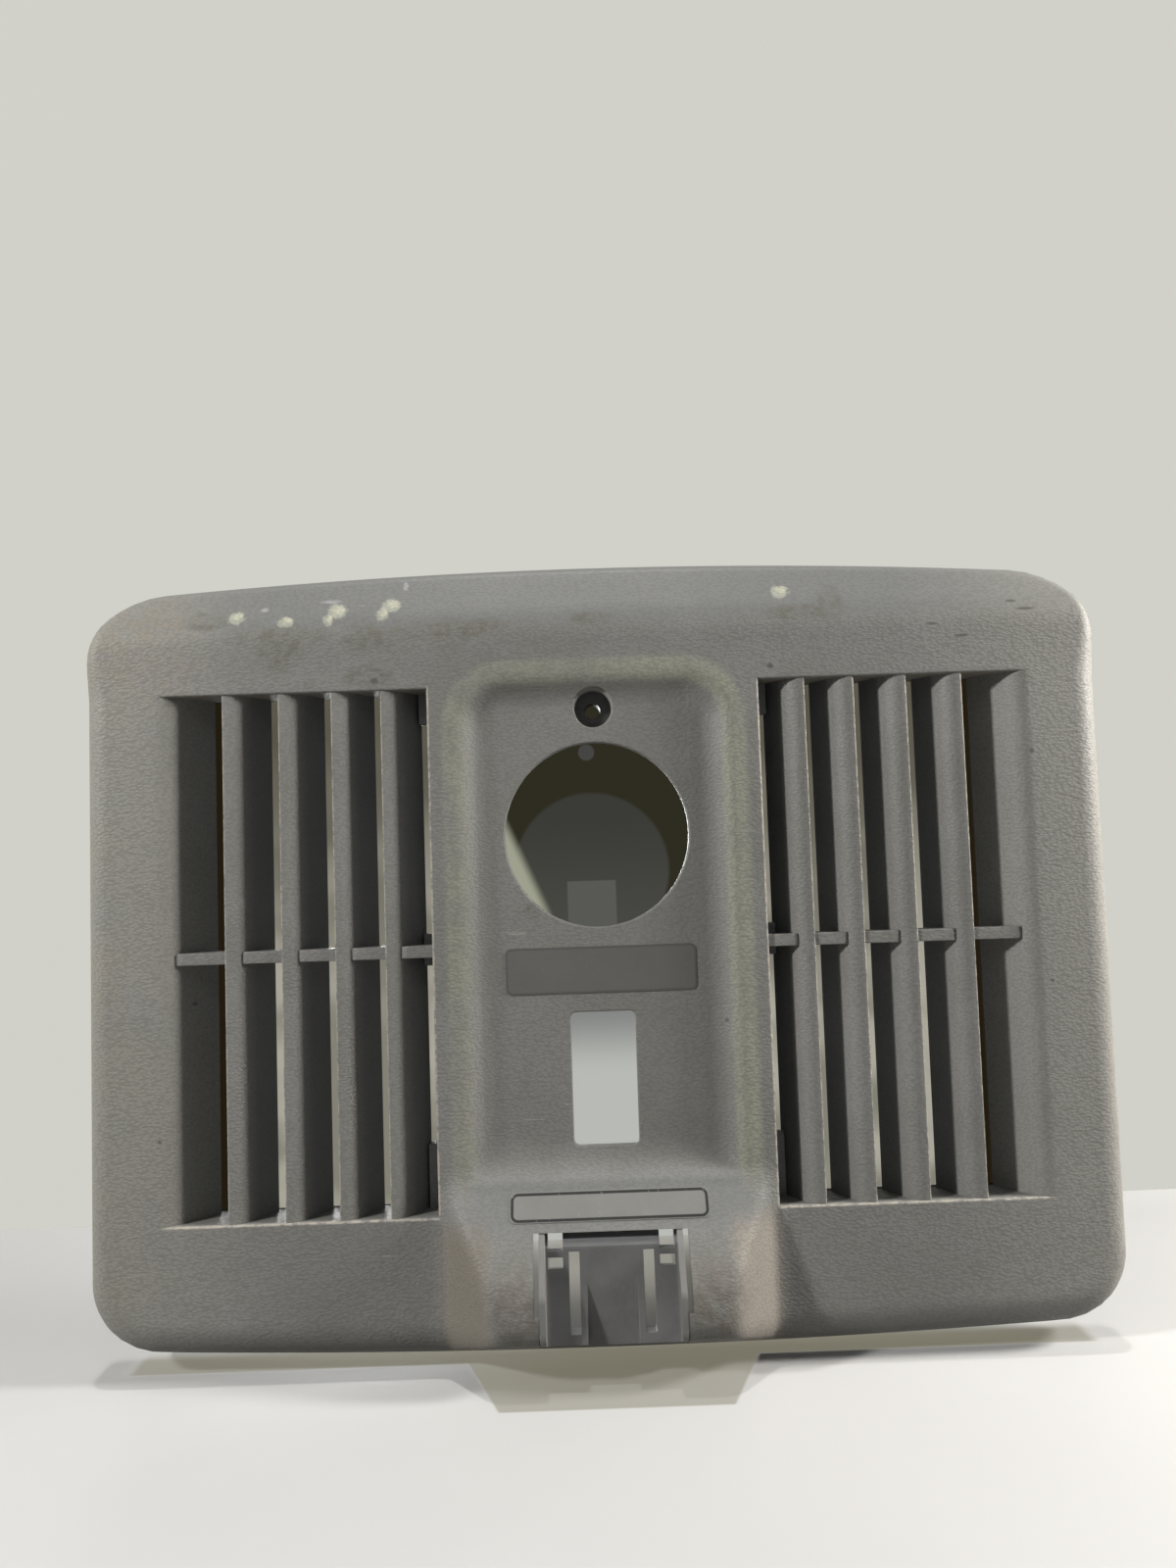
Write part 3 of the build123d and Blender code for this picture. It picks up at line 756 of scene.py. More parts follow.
def window_loop(side, shares, depth, profile):
    """One closed loop of places on a window's wall at a depth below the face."""
    growth, outer = profile(depth)
    inner = window_inner - growth
    x = side * (inner + shares[:, 0] * (outer - inner))
    z = window_low - growth + shares[:, 1] * (window_high - window_low + 2 * growth)
    return x, np.full(len(x), depth - face_height), z


def rectangle(low, high, first, last):
    """Indices (row, column) round a block of the grid, from its lower left corner."""
    return ([(low, i) for i in range(first, last)] + [(j, last) for j in range(low, high)]
            + [(high, i) for i in range(last, first, -1)] + [(j, first) for j in range(high, low, -1)])


def middle_grid(skin, surface, profile, depths):
    """The middle of one surface with the walls of both windows; returns the walls' last
    loops, and the indices and places of the grid's border."""
    x_lines, z_lines = columns.copy(), rows.copy()
    growth, outer = profile(depths[0])
    for side, ends in column_ranges.items():
        x_lines[ends] = sorted((side * (window_inner - growth), side * outer))
    z_lines[row_low], z_lines[row_high] = window_low - growth, window_high + growth
    x, z = np.meshgrid(x_lines, z_lines)
    index = skin.add(x, -surface(x, z), z)
    holes = np.zeros((len(z_lines) - 1, len(x_lines) - 1), bool)
    for first, last in column_ranges.values():
        holes[row_low:row_high, first:last] = True
    for j, i in zip(*np.nonzero(~holes)):
        skin.faces.append((int(index[j, i]), int(index[j, i + 1]), int(index[j + 1, i + 1]), int(index[j + 1, i])))
    window_ends = {}
    for side, (first, last) in column_ranges.items():
        around = rectangle(row_low, row_high, first, last)
        loop = np.array([index[j, i] for j, i in around])
        place = np.array([(abs(x_lines[i]), z_lines[j]) for j, i in around])
        shares = (place - [window_inner - growth, window_low - growth])
        shares /= [outer - window_inner + growth, window_high - window_low + 2 * growth]
        for depth in depths[1:]:
            loop = skin.grow(loop, *window_loop(side, shares, depth, profile))
        window_ends[side] = loop
    around = rectangle(0, len(z_lines) - 1, 0, len(x_lines) - 1)
    middle = nearest(x_lines, 0.0)
    around = around[middle:] + around[:middle]
    border = np.array([index[j, i] for j, i in around])
    return window_ends, border, np.array([(x_lines[i], z_lines[j]) for j, i in around]).T


def half_skin(skin, surface, profile, depths, inset, edge_angles):
    """Build the front or the inner surface of the shell and return its open loops."""
    console_side, top_start, top_reach, least_round = 16.0, 8.0, 26.0, 0.6
    bands, rounds, rim_level = 16, 4, -0.4
    window_ends, loop, (px, pz) = middle_grid(skin, surface, profile, depths)
    steps = np.hypot(px - np.roll(px, 1), pz - np.roll(pz, 1))
    steps[0] = 0.0
    runs = edge_runs(np.cumsum(steps))
    ex, ez = edge_place(runs, 0.0, -face_height)
    in_console = np.clip((console_base_half - np.abs(ex)) / console_side, 0, 1) * (ez < bottom_zone)
    at_top = np.clip((ez - top_start) / top_reach, 0, 1)
    radius = np.maximum(side_round + (console_edge_round - side_round) * in_console
                        + (top_round - side_round) * at_top - inset, least_round)
    level = np.full(len(ex), -face_height)
    for _ in range(rounds):
        ex, ez = edge_place(runs, radius + inset, level)
        level = -surface(ex, ez)
    for step in range(1, bands + 1):
        share = step / bands
        bx, bz = px + (ex - px) * share, pz + (ez - pz) * share
        loop = skin.grow(loop, bx, -surface(bx, bz), bz)
    for angle in edge_angles:
        offset = radius * (1 - cos(radians(angle))) + inset
        level = level.copy()
        for _ in range(rounds):
            rx, rz = edge_place(runs, offset, level)
            level = -(surface(rx, rz) - radius * (1 - sin(radians(angle))))
        loop = skin.grow(loop, rx, level, rz)
    for share in (0.35, 0.7):
        side_y = level * (1 - share) + rim_level * share
        rx, rz = edge_place(runs, inset, side_y)
        loop = skin.grow(loop, rx, side_y, rz)
    inwards = -1 if inset else 1
    for offset, y in ((0.0, rim_level), (0.1, -0.1), (0.4, 0.0)):
        rx, rz = edge_place(runs, inset + inwards * offset, y)
        loop = skin.grow(loop, rx, np.full(len(rx), y), rz)
    return window_ends, loop


# --------------------------------------------------------------- mesh helpers
def link(name, data):
    """An object in the scene with this mesh, camera or lamp."""
    piece = bpy.data.objects.new(name, data)
    scene.collection.objects.link(piece)
    return piece


def piece_from(name, points, faces):
    """A piece from points in millimetres, with its normals turned outwards."""
    mesh = bpy.data.meshes.new(name)
    mesh.from_pydata([(x * MM, y * MM, z * MM) for x, y, z in points], [], faces)
    piece = link(name, mesh)
    turn_outwards(piece)
    return piece


def turn_outwards(piece):
    """Merge points that are in one place, and turn the faces outwards."""
    work = bmesh.new()
    work.from_mesh(piece.data)
    bmesh.ops.remove_doubles(work, verts=work.verts, dist=0.001 * MM)
    bmesh.ops.recalc_face_normals(work, faces=work.faces)
    work.to_mesh(piece.data)
    work.free()


def settle(piece):
    """Turn a piece with its modifiers into a plain mesh."""
    graph = bpy.context.evaluated_depsgraph_get()
    made = bpy.data.meshes.new_from_object(piece.evaluated_get(graph))
    piece.modifiers.clear()
    piece.data = made
    return piece


def shade(piece, angle, weighted=True):
    """Shade a piece smooth up to an angle between its faces."""
    for face in piece.data.polygons:
        face.use_smooth = True
    piece.data.set_sharp_from_angle(angle=radians(angle))
    if weighted:
        lean = piece.modifiers.new("weighted", "WEIGHTED_NORMAL")
        lean.keep_sharp = True
        lean.weight = 80


def soften(piece, width, angle=50.0):
    """Round the sharp edges of a piece by a fraction of a millimetre."""
    bevel = piece.modifiers.new("soft edges", "BEVEL")
    bevel.width = width * MM
    bevel.segments = 2
    bevel.limit_method = "ANGLE"
    bevel.angle_limit = radians(angle)
    bevel.use_clamp_overlap = True
    settle(piece)


def quads(rings, count, closed=False):
    """Quads between rings of as many points; closed joins the last ring to the first."""
    faces = []
    for ring in range(rings if closed else rings - 1):
        start, following = ring * count, (ring + 1) % rings * count
        for k in range(count):
            n = (k + 1) % count
            faces.append((start + k, start + n, following + n, following + k))
    return faces


def rounded_loop(middle_x, middle_z, corner, steps, level=0.0):
    """Loop of a rectangle with rounded corners, whose corner arcs are centred at the middles."""
    loop = []
    for turn, sx, sz in ((0, 1, 1), (1, -1, 1), (2, -1, -1), (3, 1, -1)):
        for step in range(steps + 1):
            angle = pi / 2 * (turn + step / steps)
            loop.append((sx * middle_x + corner * cos(angle), level + sz * middle_z + corner * sin(angle)))
    return loop


def prism(name, section, low, high, axes="xyz"):
    """A closed prism: section points in the plane of the first two axes, run along the third."""
    order = ["xyz".index(axis) for axis in axes]
    points = []
    for level in (low, high):
        for a, b in section:
            point = [0.0, 0.0, 0.0]
            point[order[0]], point[order[1]], point[order[2]] = a, b, level
            points.append(tuple(point))
    count = len(section)
    faces = [tuple(range(count)), tuple(range(2 * count - 1, count - 1, -1))]
    return piece_from(name, points, faces + quads(2, count))


def box(name, x_limits, y_limits, z_limits):
    (x0, x1), (y0, y1) = sorted(x_limits), sorted(y_limits)
    return prism(name, [(x0, y0), (x1, y0), (x1, y1), (x0, y1)], *sorted(z_limits))


def turned(name, profile, segments, level=0.0):
    """A closed solid of revolution about a line along Y; profile holds (radius, y)."""
    points = []
    for step in range(segments):
        angle = 2 * pi * step / segments
        points += [(radius * cos(angle), y, level + radius * sin(angle)) for radius, y in profile]
    return piece_from(name, points, quads(segments, len(profile), closed=True))


def join(name, pieces):
    """Make one piece of several, with its faces outwards."""
    work = bmesh.new()
    for piece in pieces:
        work.from_mesh(piece.data)
    mesh = bpy.data.meshes.new(name)
    work.to_mesh(mesh)
    work.free()
    for piece in pieces:
        bpy.data.objects.remove(piece)
    joined = link(name, mesh)
    turn_outwards(joined)
    return joined


def cut(piece, cutters):
    """Take the cutters' volumes out of a piece."""
    for cutter in cutters:
        tool = piece.modifiers.new("cut", "BOOLEAN")
        tool.operation = "DIFFERENCE"
        tool.solver = "EXACT"
        tool.object = cutter
    settle(piece)
    for cutter in cutters:
        bpy.data.objects.remove(cutter)


def dress(piece, material, slot, *nodes):
    """Give a piece its material and body, and hide the nodes that it stands for; the slot is not used."""
    piece.data.materials.clear()
    piece.data.materials.append(material)
    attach(piece, "root")
    if nodes:
        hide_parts(*nodes)


# ---------------------------------------------------------------- geometry nodes
class Tree:
    """A geometry node tree with named inputs for its sizes."""

    def __init__(self, name, inputs):
        self.group = bpy.data.node_groups.new(name, "GeometryNodeTree")
        face = self.group.interface
        self.keys = {}
        for label, kind in inputs.items():
            self.keys[label] = face.new_socket(label, in_out="INPUT", socket_type=kind).identifier
        face.new_socket("Geometry", in_out="OUTPUT", socket_type="NodeSocketGeometry")
        self.entry = self.group.nodes.new("NodeGroupInput")
        self.exit = self.group.nodes.new("NodeGroupOutput")

    def add(self, kind, values=None):
        return add_node(self.group, kind, {}, values).outputs

    def math(self, operation, a, b):
        return add_node(self.group, "ShaderNodeMath", {"operation": operation}, [a, b]).outputs[0]

    def place_copies(self, count, place, piece, scale):
        """Put copies of a piece at places that follow from their index, and end in plain mesh."""
        line = self.add("GeometryNodeMeshLine", {"Count": count, "Offset": (0, 0, 0)})[0]
        points = self.add("GeometryNodeSetPosition", {"Geometry": line, "Position": place})[0]
        source = self.add("GeometryNodeObjectInfo", {"Object": piece})["Geometry"]
        copies = self.add("GeometryNodeInstanceOnPoints", {"Points": points, "Instance": source, "Scale": scale})[0]
        real = self.add("GeometryNodeRealizeInstances", {"Geometry": copies})[0]
        coated = self.add("GeometryNodeSetMaterial", {"Geometry": real, "Material": self.entry.outputs["Material"]})
        self.group.links.new(coated[0], self.exit.inputs[0])

    def run(self, name, one, material, values):
        """Make one piece from copies of another with these sizes, and remove the other."""
        piece = link(name, bpy.data.meshes.new(name))
        modifier = piece.modifiers.new("nodes", "NODES")
        modifier.node_group = self.group
        for label, value in {"Piece": one, "Material": material, **values}.items():
            modifier[self.keys[label]] = value
        settle(piece)
        turn_outwards(piece)
        bpy.data.objects.remove(one)
        return piece


def vane_bank_tree():
    """Vanes side by side: each pitch is a little wider than the last."""
    tree = Tree("vane bank", {
        "Piece": "NodeSocketObject", "Material": "NodeSocketMaterial", "Vanes": "NodeSocketInt",
        "Inner edge": "NodeSocketFloat", "First pitch": "NodeSocketFloat",
        "Pitch growth": "NodeSocketFloat", "Widening": "NodeSocketFloat", "Side": "NodeSocketFloat",
    })
    sizes = tree.entry.outputs
    index = tree.add("GeometryNodeInputIndex")[0]
    number = tree.math("ADD", index, 1.0)
    spread = tree.math("MULTIPLY", tree.math("MULTIPLY", number, index), 0.5)
    along = tree.math("ADD", tree.math("MULTIPLY", number, sizes["First pitch"]),
                      tree.math("MULTIPLY", spread, sizes["Pitch growth"]))
    along = tree.math("MULTIPLY", tree.math("ADD", along, sizes["Inner edge"]), sizes["Side"])
    wider = tree.math("ADD", tree.math("MULTIPLY", index, sizes["Widening"]), 1.0)
    place = tree.add("ShaderNodeCombineXYZ", {"X": along})[0]
    flip = tree.add("ShaderNodeCombineXYZ", {"X": tree.math("MULTIPLY", wider, sizes["Side"]), "Y": 1.0, "Z": 1.0})[0]
    tree.place_copies(sizes["Vanes"], place, sizes["Piece"], flip)
    return tree


def paired_rows_tree():
    """A piece repeated in two columns and several rows, mirrored in the left column."""
    tree = Tree("paired rows", {
        "Piece": "NodeSocketObject", "Material": "NodeSocketMaterial", "Rows": "NodeSocketInt",
        "Half spacing": "NodeSocketFloat", "Lowest": "NodeSocketFloat", "Rise": "NodeSocketFloat",
    })
    sizes = tree.entry.outputs
    index = tree.add("GeometryNodeInputIndex")[0]
    level = tree.math("FLOOR", tree.math("MULTIPLY", index, 0.5), 0.0)
    side = tree.math("SUBTRACT", tree.math("MULTIPLY", tree.math("MODULO", index, 2.0), 2.0), 1.0)
    across = tree.math("MULTIPLY", side, sizes["Half spacing"])
    up = tree.math("ADD", tree.math("MULTIPLY", level, sizes["Rise"]), sizes["Lowest"])
    place = tree.add("ShaderNodeCombineXYZ", {"X": across, "Z": up})[0]
    flip = tree.add("ShaderNodeCombineXYZ", {"X": side, "Y": 1.0, "Z": 1.0})[0]
    tree.place_copies(tree.math("MULTIPLY", sizes["Rows"], 2.0), place, sizes["Piece"], flip)
    return tree


# -------------------------------------------------------------------- the pieces
# How far the cutters reach behind and before the tray floor, and the steps of a flared edge
past_back, past_front = 6.0, 8.0
flare_angles = [radians(v) for v in (0, 20, 40, 60, 78)]


def hole_cutter(name, radius, level):
    """Cutter for a round hole in the tray floor, with a flared edge."""
    rim = [(radius + hole_flare * (1 - cos(a)), tray_floor + hole_flare * (1 - sin(a))) for a in flare_angles]
    wide, before = radius + 1.6 * hole_flare, tray_floor - past_front
    profile = [(0.001, past_back), (radius, past_back), *rim, (wide, tray_floor - 0.6 * hole_flare),
               (wide, before), (0.001, before)]
    return turned(name, profile, 128, level)


def switch_cutter():
    """Cutter for the switch's rounded opening, with a flared edge."""
    layers = [(0.0, past_back)]
    layers += [(switch_flare * (1 - cos(a)), tray_floor + switch_flare * (1 - sin(a))) for a in flare_angles]
    layers += [(2 * switch_flare, tray_floor - 2.0)]
    points = []
    for grow, y in layers:
        corner = switch_round + grow
        loop = rounded_loop(switch_width / 2 + grow - corner, switch_height / 2 + grow - corner, corner, 6,
                            switch_level)
        points += [(x, y, z) for x, z in loop]
    count = len(points) // len(layers)
    ends = [tuple(range(count)), tuple(range(len(points) - 1, len(points) - 1 - count, -1))]
    return piece_from("switch hole", points, quads(len(layers), count) + ends)


def notch_cutter():
    """Cutter for the pocket's notch, with its side slits."""
    below, front, rear = -250.0, -60.0, -26.7
    section = [(-notch_half, below), (-notch_half, slit_bottom), (-slit_half, slit_bottom), (-slit_half, notch_top),
               (slit_half, notch_top), (slit_half, slit_bottom), (notch_half, slit_bottom), (notch_half, below)]
    return prism("notch", section, front, rear, "xzy")


def cover_shell(material):
    """The moulding: front, edges, window walls and hollow back in one closed skin."""
    skin = Skin()
    front_depths = (0.0, 0.04, 0.14, 0.32, 0.55, 0.8, 1.5, 2.6, 3.75, 6.0, 10.0, duct_depth)
    back_depths = (wall, 3.1, 4.1, 5.3, 8.0, duct_depth)
    front_windows, front_rim = half_skin(skin, height, front_profile, front_depths, 0.0, (75, 60, 45, 30, 15, 0))
    back_windows, back_rim = half_skin(skin, inner_height, back_profile, back_depths, wall, (60, 30, 0))
    skin.band(front_rim, back_rim)
    for side in (-1, 1):
        skin.band(front_windows[side], back_windows[side])
    shell = piece_from("cover_shell", skin.points, skin.faces)
    cut(shell, [hole_cutter("knob hole", opening_radius, opening_level),
                hole_cutter("seat hole", screw_seat_radius, 0.0), switch_cutter(), notch_cutter()])
    shade(shell, 30.0)
    dress(shell, material, "grained_grey", "cover")


def vane_section():
    """Section of a vane whose outer front corner is at x = 0: a rolled nose on a slanted plate."""
    front = -face_height + vane_setback
    back = front + vane_depth
    thick = vane_thickness * sqrt(1 + vane_lean * vane_lean)
    section = [(-0.25, front), (0.0, front + 0.25), (0.0, front + 1.6), (-0.4, front + 2.3), (-2.2, front + 3.2)]
    section += [(-vane_run + thick, back), (-vane_run + 0.2, back), (-vane_run, back - 0.2)]
    turn = atan2(1.0, vane_lean)
    tangent = vane_round * tan(turn / 2)
    for step in range(13):
        angle = turn * (1 - step / 12)
        section.append((tangent - vane_nose - vane_round * sin(angle), front + vane_round * (1 - cos(angle))))
    return section


def vanes(material, side_name, side, tree):
    """One window's vanes, which reach a little into its upper and lower walls."""
    vane = prism("one vane", vane_section(), window_low - 0.6, window_high + 0.6)
    bank = tree.run(f"{side_name}_vane_bank", vane, material, {
        "Vanes": vane_count, "Inner edge": window_inner * MM, "First pitch": first_pitch * MM,
        "Pitch growth": pitch_growth * MM, "Widening": vane_widening, "Side": float(side)})
    shade(bank, 30.0)
    dress(bank, material, "grained_grey", *(f"{side_name}_vane_{number}" for number in range(1, vane_count + 1)))


def cross_rib(material, side_name, side):
    """The bar across one bank, in lengths that end round against each slanted plate."""
    behind_vane, nose_room, into_plate, end_room, into_wall = 1.2, 4.4, 0.8, 0.9, 0.6
    front = -face_height + rib_setback
    back = front + rib_depth
    back_depth = rib_setback + rib_depth
    lengths = []
    edges = [window_inner - 1.0] + [vane_front(n) for n in range(1, vane_count + 1)] + [window_outer]
    for number in range(vane_count + 1):
        start = edges[number] - (behind_vane if number else 0.0)
        wider = 1 + number * vane_widening
        if number < vane_count:
            reach_front = edges[number + 1] - nose_room * wider
            reach_back = edges[number + 1] - (vane_nose + vane_lean * back_depth) * wider + into_plate
        else:
            reach_front = edges[number + 1] - end_room
            reach_back = edges[number + 1] - end_wall_lean * back_depth + into_wall
        section = [(start, front)]
        for step in range(7):
            angle = radians(80) * step / 6
            section.append((reach_front - rib_round + 0.4 + rib_round * sin(angle),
                            front + rib_round * (1 - cos(angle))))
        section += [(reach_back, back), (start, back)]
        section = [(side * x, y) for x, y in section]
        lengths.append(prism("length", section, rib_level - rib_height / 2, rib_level + rib_height / 2))
    rib = join(f"{side_name}_cross_rib_bar", lengths)
    soften(rib, 0.35)
    shade(rib, 40.0)
    dress(rib, material, "grained_grey", f"{side_name}_cross_rib")


def around_window(side, margin):
    """Limits (x0, x1, z0, z1) of one window, moved outwards by a margin."""
    x0, x1 = sorted((side * window_inner, side * window_outer))
    return x0 - margin, x1 + margin, window_low - margin, window_high + margin


def frame_ring(name, inner, outer, y_low, y_high):
    """A flat rectangular ring; inner and outer are (x0, x1, z0, z1)."""
    points, faces = [], []
    for y in (y_low, y_high):
        for x0, x1, z0, z1 in (inner, outer):
            points += [(x0, y, z0), (x1, y, z0), (x1, y, z1), (x0, y, z1)]
    for k in range(4):
        n = (k + 1) % 4
        faces += [(k, n, n + 4, k + 4), (k + 8, k + 12, n + 12, n + 8),
                  (k, k + 8, n + 8, n), (k + 4, n + 4, n + 12, k + 12)]
    return piece_from(name, points, faces)


def duct_collar(material, side_name, side):
    """Flange behind a window, the wall outside its slanted end, and the tabs at its inner edge."""
    flange = frame_ring("flange", around_window(side, 0.0), around_window(side, flange_width),
                        -flange_front, -flange_rear)
    outer_wall = box("outer wall", (side * window_outer, side * (window_outer + collar_wall)),
                     (outer_wall_front, outer_wall_rear), (window_low - collar_wall, window_high + collar_wall))
    tab_rear = -face_height + vane_setback + vane_depth
    tab_reach = vane_front(1) - tab_gap
    parts = [flange, outer_wall]
    for low, high in ((window_high - 11.0, window_high + 0.5), (rib_level - 5.5, rib_level + 5.5),
                      (window_low - 0.5, window_low + 22.0)):
        parts.append(box("tab", (side * (window_inner - 0.6), side * tab_reach), (tab_rear - tab_depth, tab_rear),
                         (low, high)))
    collar = join(f"{side_name}_duct_collar", parts)
    soften(collar, 0.4)
    shade(collar, 40.0)
    dress(collar, material, "grained_grey")


def duct_seal(material, side_name, side):
    """Foam ring glued on the flange, a little waved where it was squeezed."""
    inner, outer = around_window(side, 0.2), around_window(side, flange_width)
    outer = (outer[0] + seal_margin, outer[1] - seal_margin, outer[2] + seal_margin, outer[3] - seal_margin)
    section = [(0.0, -flange_rear), (0.12, -1.0), (0.0, -0.4), (0.08, -0.1), (0.3, -0.05), (0.5, 0.0), (0.7, -0.05),
               (0.92, -0.1), (1.0, -0.4), (0.88, -1.0), (1.0, -flange_rear)]
    corners = [(0, 2), (1, 2), (1, 3), (0, 3)]
    stations = []
    for k in range(4):
        count = 12 if k % 2 == 0 else 24
        stations += [(corners[k], corners[(k + 1) % 4], step / count) for step in range(count)]
    points = []
    for number, (a, b, share) in enumerate(stations):
        wave = 0.10 * sin(number * 1.9) + 0.07 * sin(number * 0.7 + side)
        near, far = ([limits[a[axis]] * (1 - share) + limits[b[axis]] * share for axis in (0, 1)]
                     for limits in (inner, outer))
        for across, y in section:
            squeezed = y - abs(wave) if y > -0.5 else y
            points.append((near[0] * (1 - across) + far[0] * across, squeezed,
                           near[1] * (1 - across) + far[1] * across))
    seal = piece_from(f"{side_name}_foam_seal", points, quads(len(stations), len(section), closed=True))
    shade(seal, 50.0, weighted=False)
    dress(seal, material, "dark_foam", f"{side_name}_duct_seal")


def screw_boss(material):
    """Counterbored boss behind the tray, flush inside the seat."""
    outer, inner = screw_seat_radius + boss_wall, screw_seat_radius - 0.03
    seat, front = tray_floor + screw_seat_depth, tray_floor + 1.4
    profile = [(inner, front), (inner, seat), (screw_hole_radius + 0.3, seat), (screw_hole_radius, seat + 0.3),
               (screw_hole_radius, -0.3), (screw_hole_radius + 0.3, 0.0), (outer - 0.4, 0.0), (outer, -0.4),
               (outer, front + 0.2), (outer - 0.6, front)]
    boss = turned("screw_boss", profile, 96)
    shade(boss, 30.0)
    dress(boss, material, "grained_grey")


def stiffeners(material, tree):
    """Three ribs on each side, between the duct and the side wall."""
    section = [(149.0, -18.6), (167.0, -18.6), (171.0, -17.2), (174.6, -13.0), (174.9, -6.3), (174.6, -6.0),
               (149.0, -6.0)]
    rib = prism("one stiffener", section, -stiffener_half, stiffener_half)
    made = tree.run("side_stiffeners", rib, material, {
        "Rows": 3, "Half spacing": 0.0, "Lowest": stiffener_lowest * MM, "Rise": stiffener_rise * MM})
    soften(made, 0.25)
    shade(made, 40.0)
    dress(made, material, "grained_grey")


def at_clips(name, section, half_length, material, tree):
    """A piece of this section at each of the four clips, as long as half_length each way."""
    one = prism(f"one of {name}", section, -half_length, half_length, "zyx")
    return tree.run(name, one, material, {"Rows": 2, "Half spacing": clip_half_spacing * MM,
                                          "Lowest": clip_lowest * MM, "Rise": clip_rise * MM})


def posts(material, tree):
    """Four posts behind the corners that carry the clips, with a fillet at the root."""
    section = [(-3.0, -18.8), (3.0, -18.8), (3.0, -17.6), (2.0, -16.9), (1.5, -15.6), (1.4, -2.4), (1.0, -2.0),
               (-1.0, -2.0), (-1.4, -2.4), (-1.5, -15.6), (-2.0, -16.9), (-3.0, -17.6)]
    made = at_clips("clip_posts", section, post_half, material, tree)
    soften(made, 0.25)
    shade(made, 40.0)
    dress(made, material, "grained_grey")


def clips(material, tree):
    """Bent spring clips pushed over the posts."""
    inner = [(0.0, -2.0), (1.5, -2.0), (1.55, -3.5), (1.5, -6.5), (1.9, -8.2), (3.1, -11.0)]
    outer = [(0.0, -1.4), (1.7, -1.4), (2.05, -1.8), (2.15, -3.5), (2.1, -6.3), (2.5, -8.0), (3.7, -11.0)]
    section = [(-z, y) for z, y in reversed(outer)] + outer[1:]
    section += inner[::-1] + [(-z, y) for z, y in inner[1:]]
    made = at_clips("corner_spring_clips", section, clip_half, material, tree)
    shade(made, 35.0)
    dress(made, material, "spring_steel", "spring_clips")


def pocket(material):
    """The latch pocket, taken from its solid with the edges softened."""
    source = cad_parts["latch_pocket"].data.copy()
    insert = link("latch_pocket_insert", source)
    work = bmesh.new()
    work.from_mesh(source)
    bmesh.ops.remove_doubles(work, verts=work.verts, dist=0.002 * MM)
    bmesh.ops.dissolve_limit(work, angle_limit=radians(1.0), verts=work.verts, edges=work.edges)
    bmesh.ops.recalc_face_normals(work, faces=work.faces)
    work.to_mesh(source)
    work.free()
    soften(insert, 0.3, 35.0)
    shade(insert, 40.0)
    dress(insert, material, "smooth_grey", "latch_pocket")


def label(name, size, origin, up, out, material, slot, node):
    """A rounded sheet of film with a soft edge and its own map in millimetres."""
    middle_u, middle_v = size[0] / 2 - label_round, size[1] / 2 - label_round
    layers = [(0.0, 0.0), (0.0, label_thickness * 0.7), (label_bevel, label_thickness)]
    points, flat = [], []
    for inset, lift in layers:
        loop = rounded_loop(middle_u, middle_v, label_round - inset, 8)
        flat += loop
        points += [tuple(origin + Vector((1, 0, 0)) * u + up * v + out * lift) for u, v in loop]
    count = len(points) // len(layers)
    faces = [tuple(range(count)), tuple(range(2 * count, 3 * count))]
    piece = piece_from(name, points, faces + quads(len(layers), count))
    film = piece.data.uv_layers.new(name="film")
    for corner in piece.data.loops:
        film.data[corner.index].uv = flat[corner.vertex_index]
    shade(piece, 35.0)
    dress(piece, material, slot, node)


def labels():
    """The plain sticker on the tray floor, and the bordered one on the console's ramp."""
    film = label_film("grey film", (0.118, 0.117, 0.111), (0.070, 0.069, 0.065), upper_label_size, 0.35, 0.55, 0.7)
    label("upper_film_label", upper_label_size, Vector((0, tray_floor, upper_label_level)), Vector((0, 0, 1)),
          Vector((0, -1, 0)), film, "grey_film", "upper_label")
    drop = Vector((0, -console_depth, ramp_bottom - ramp_top)).normalized()
    out = Vector((0, ramp_bottom - ramp_top, console_depth)).normalized()
    origin = Vector((0, -face_height, ramp_top)) + drop * lower_label_drop
    film = label_film("clear film", (0.205, 0.205, 0.196), (0.008, 0.008, 0.008), lower_label_size, 0.75, 0.60, 1.0)
    label("lower_film_label", lower_label_size, origin, -drop, out, film, "clear_film", "lower_label")


# ------------------------------------------------------------------- the setting
def camera():
    """The camera at the photograph's place, turned by its yaw, pitch and roll."""
    data = bpy.data.cameras.new("camera")
    data.lens = lens_length
    data.sensor_width = sensor_width
    data.clip_start, data.clip_end = 0.01, 50.0
    seen_by = link("camera", data)
    turn = Matrix.Rotation(camera_yaw, 3, "Z") @ Matrix.Rotation(camera_pitch, 3, "X")
    c, s = cos(camera_roll), sin(camera_roll)
    turn = turn @ Matrix(((c, 0, s), (0, 1, 0), (-s, 0, c)))
    right, ahead, up = turn.col[0], turn.col[1], turn.col[2]
    place = Matrix((right, up, -ahead)).transposed().to_4x4()
    place.translation = camera_place * MM
    seen_by.matrix_world = place
    scene.camera = seen_by


def towards(azimuth, elevation):
    """Direction of a lamp; azimuth 0 is straight in front, positive to the right."""
    a, e = radians(azimuth), radians(elevation)
    return Vector((sin(a) * cos(e), -cos(a) * cos(e), sin(e)))


def place_lamp(name, kind, azimuth, elevation, colour, distance=0.0):
    """A lamp that looks at the middle of the face from one direction."""
    data = bpy.data.lights.new(name, kind)
    data.color = colour
    shining = link(name, data)
    back = towards(azimuth, elevation)
    shining.location = lit_middle + back * distance
    shining.rotation_mode = "QUATERNION"
    shining.rotation_quaternion = back.to_track_quat("Z", "Y")
    return data


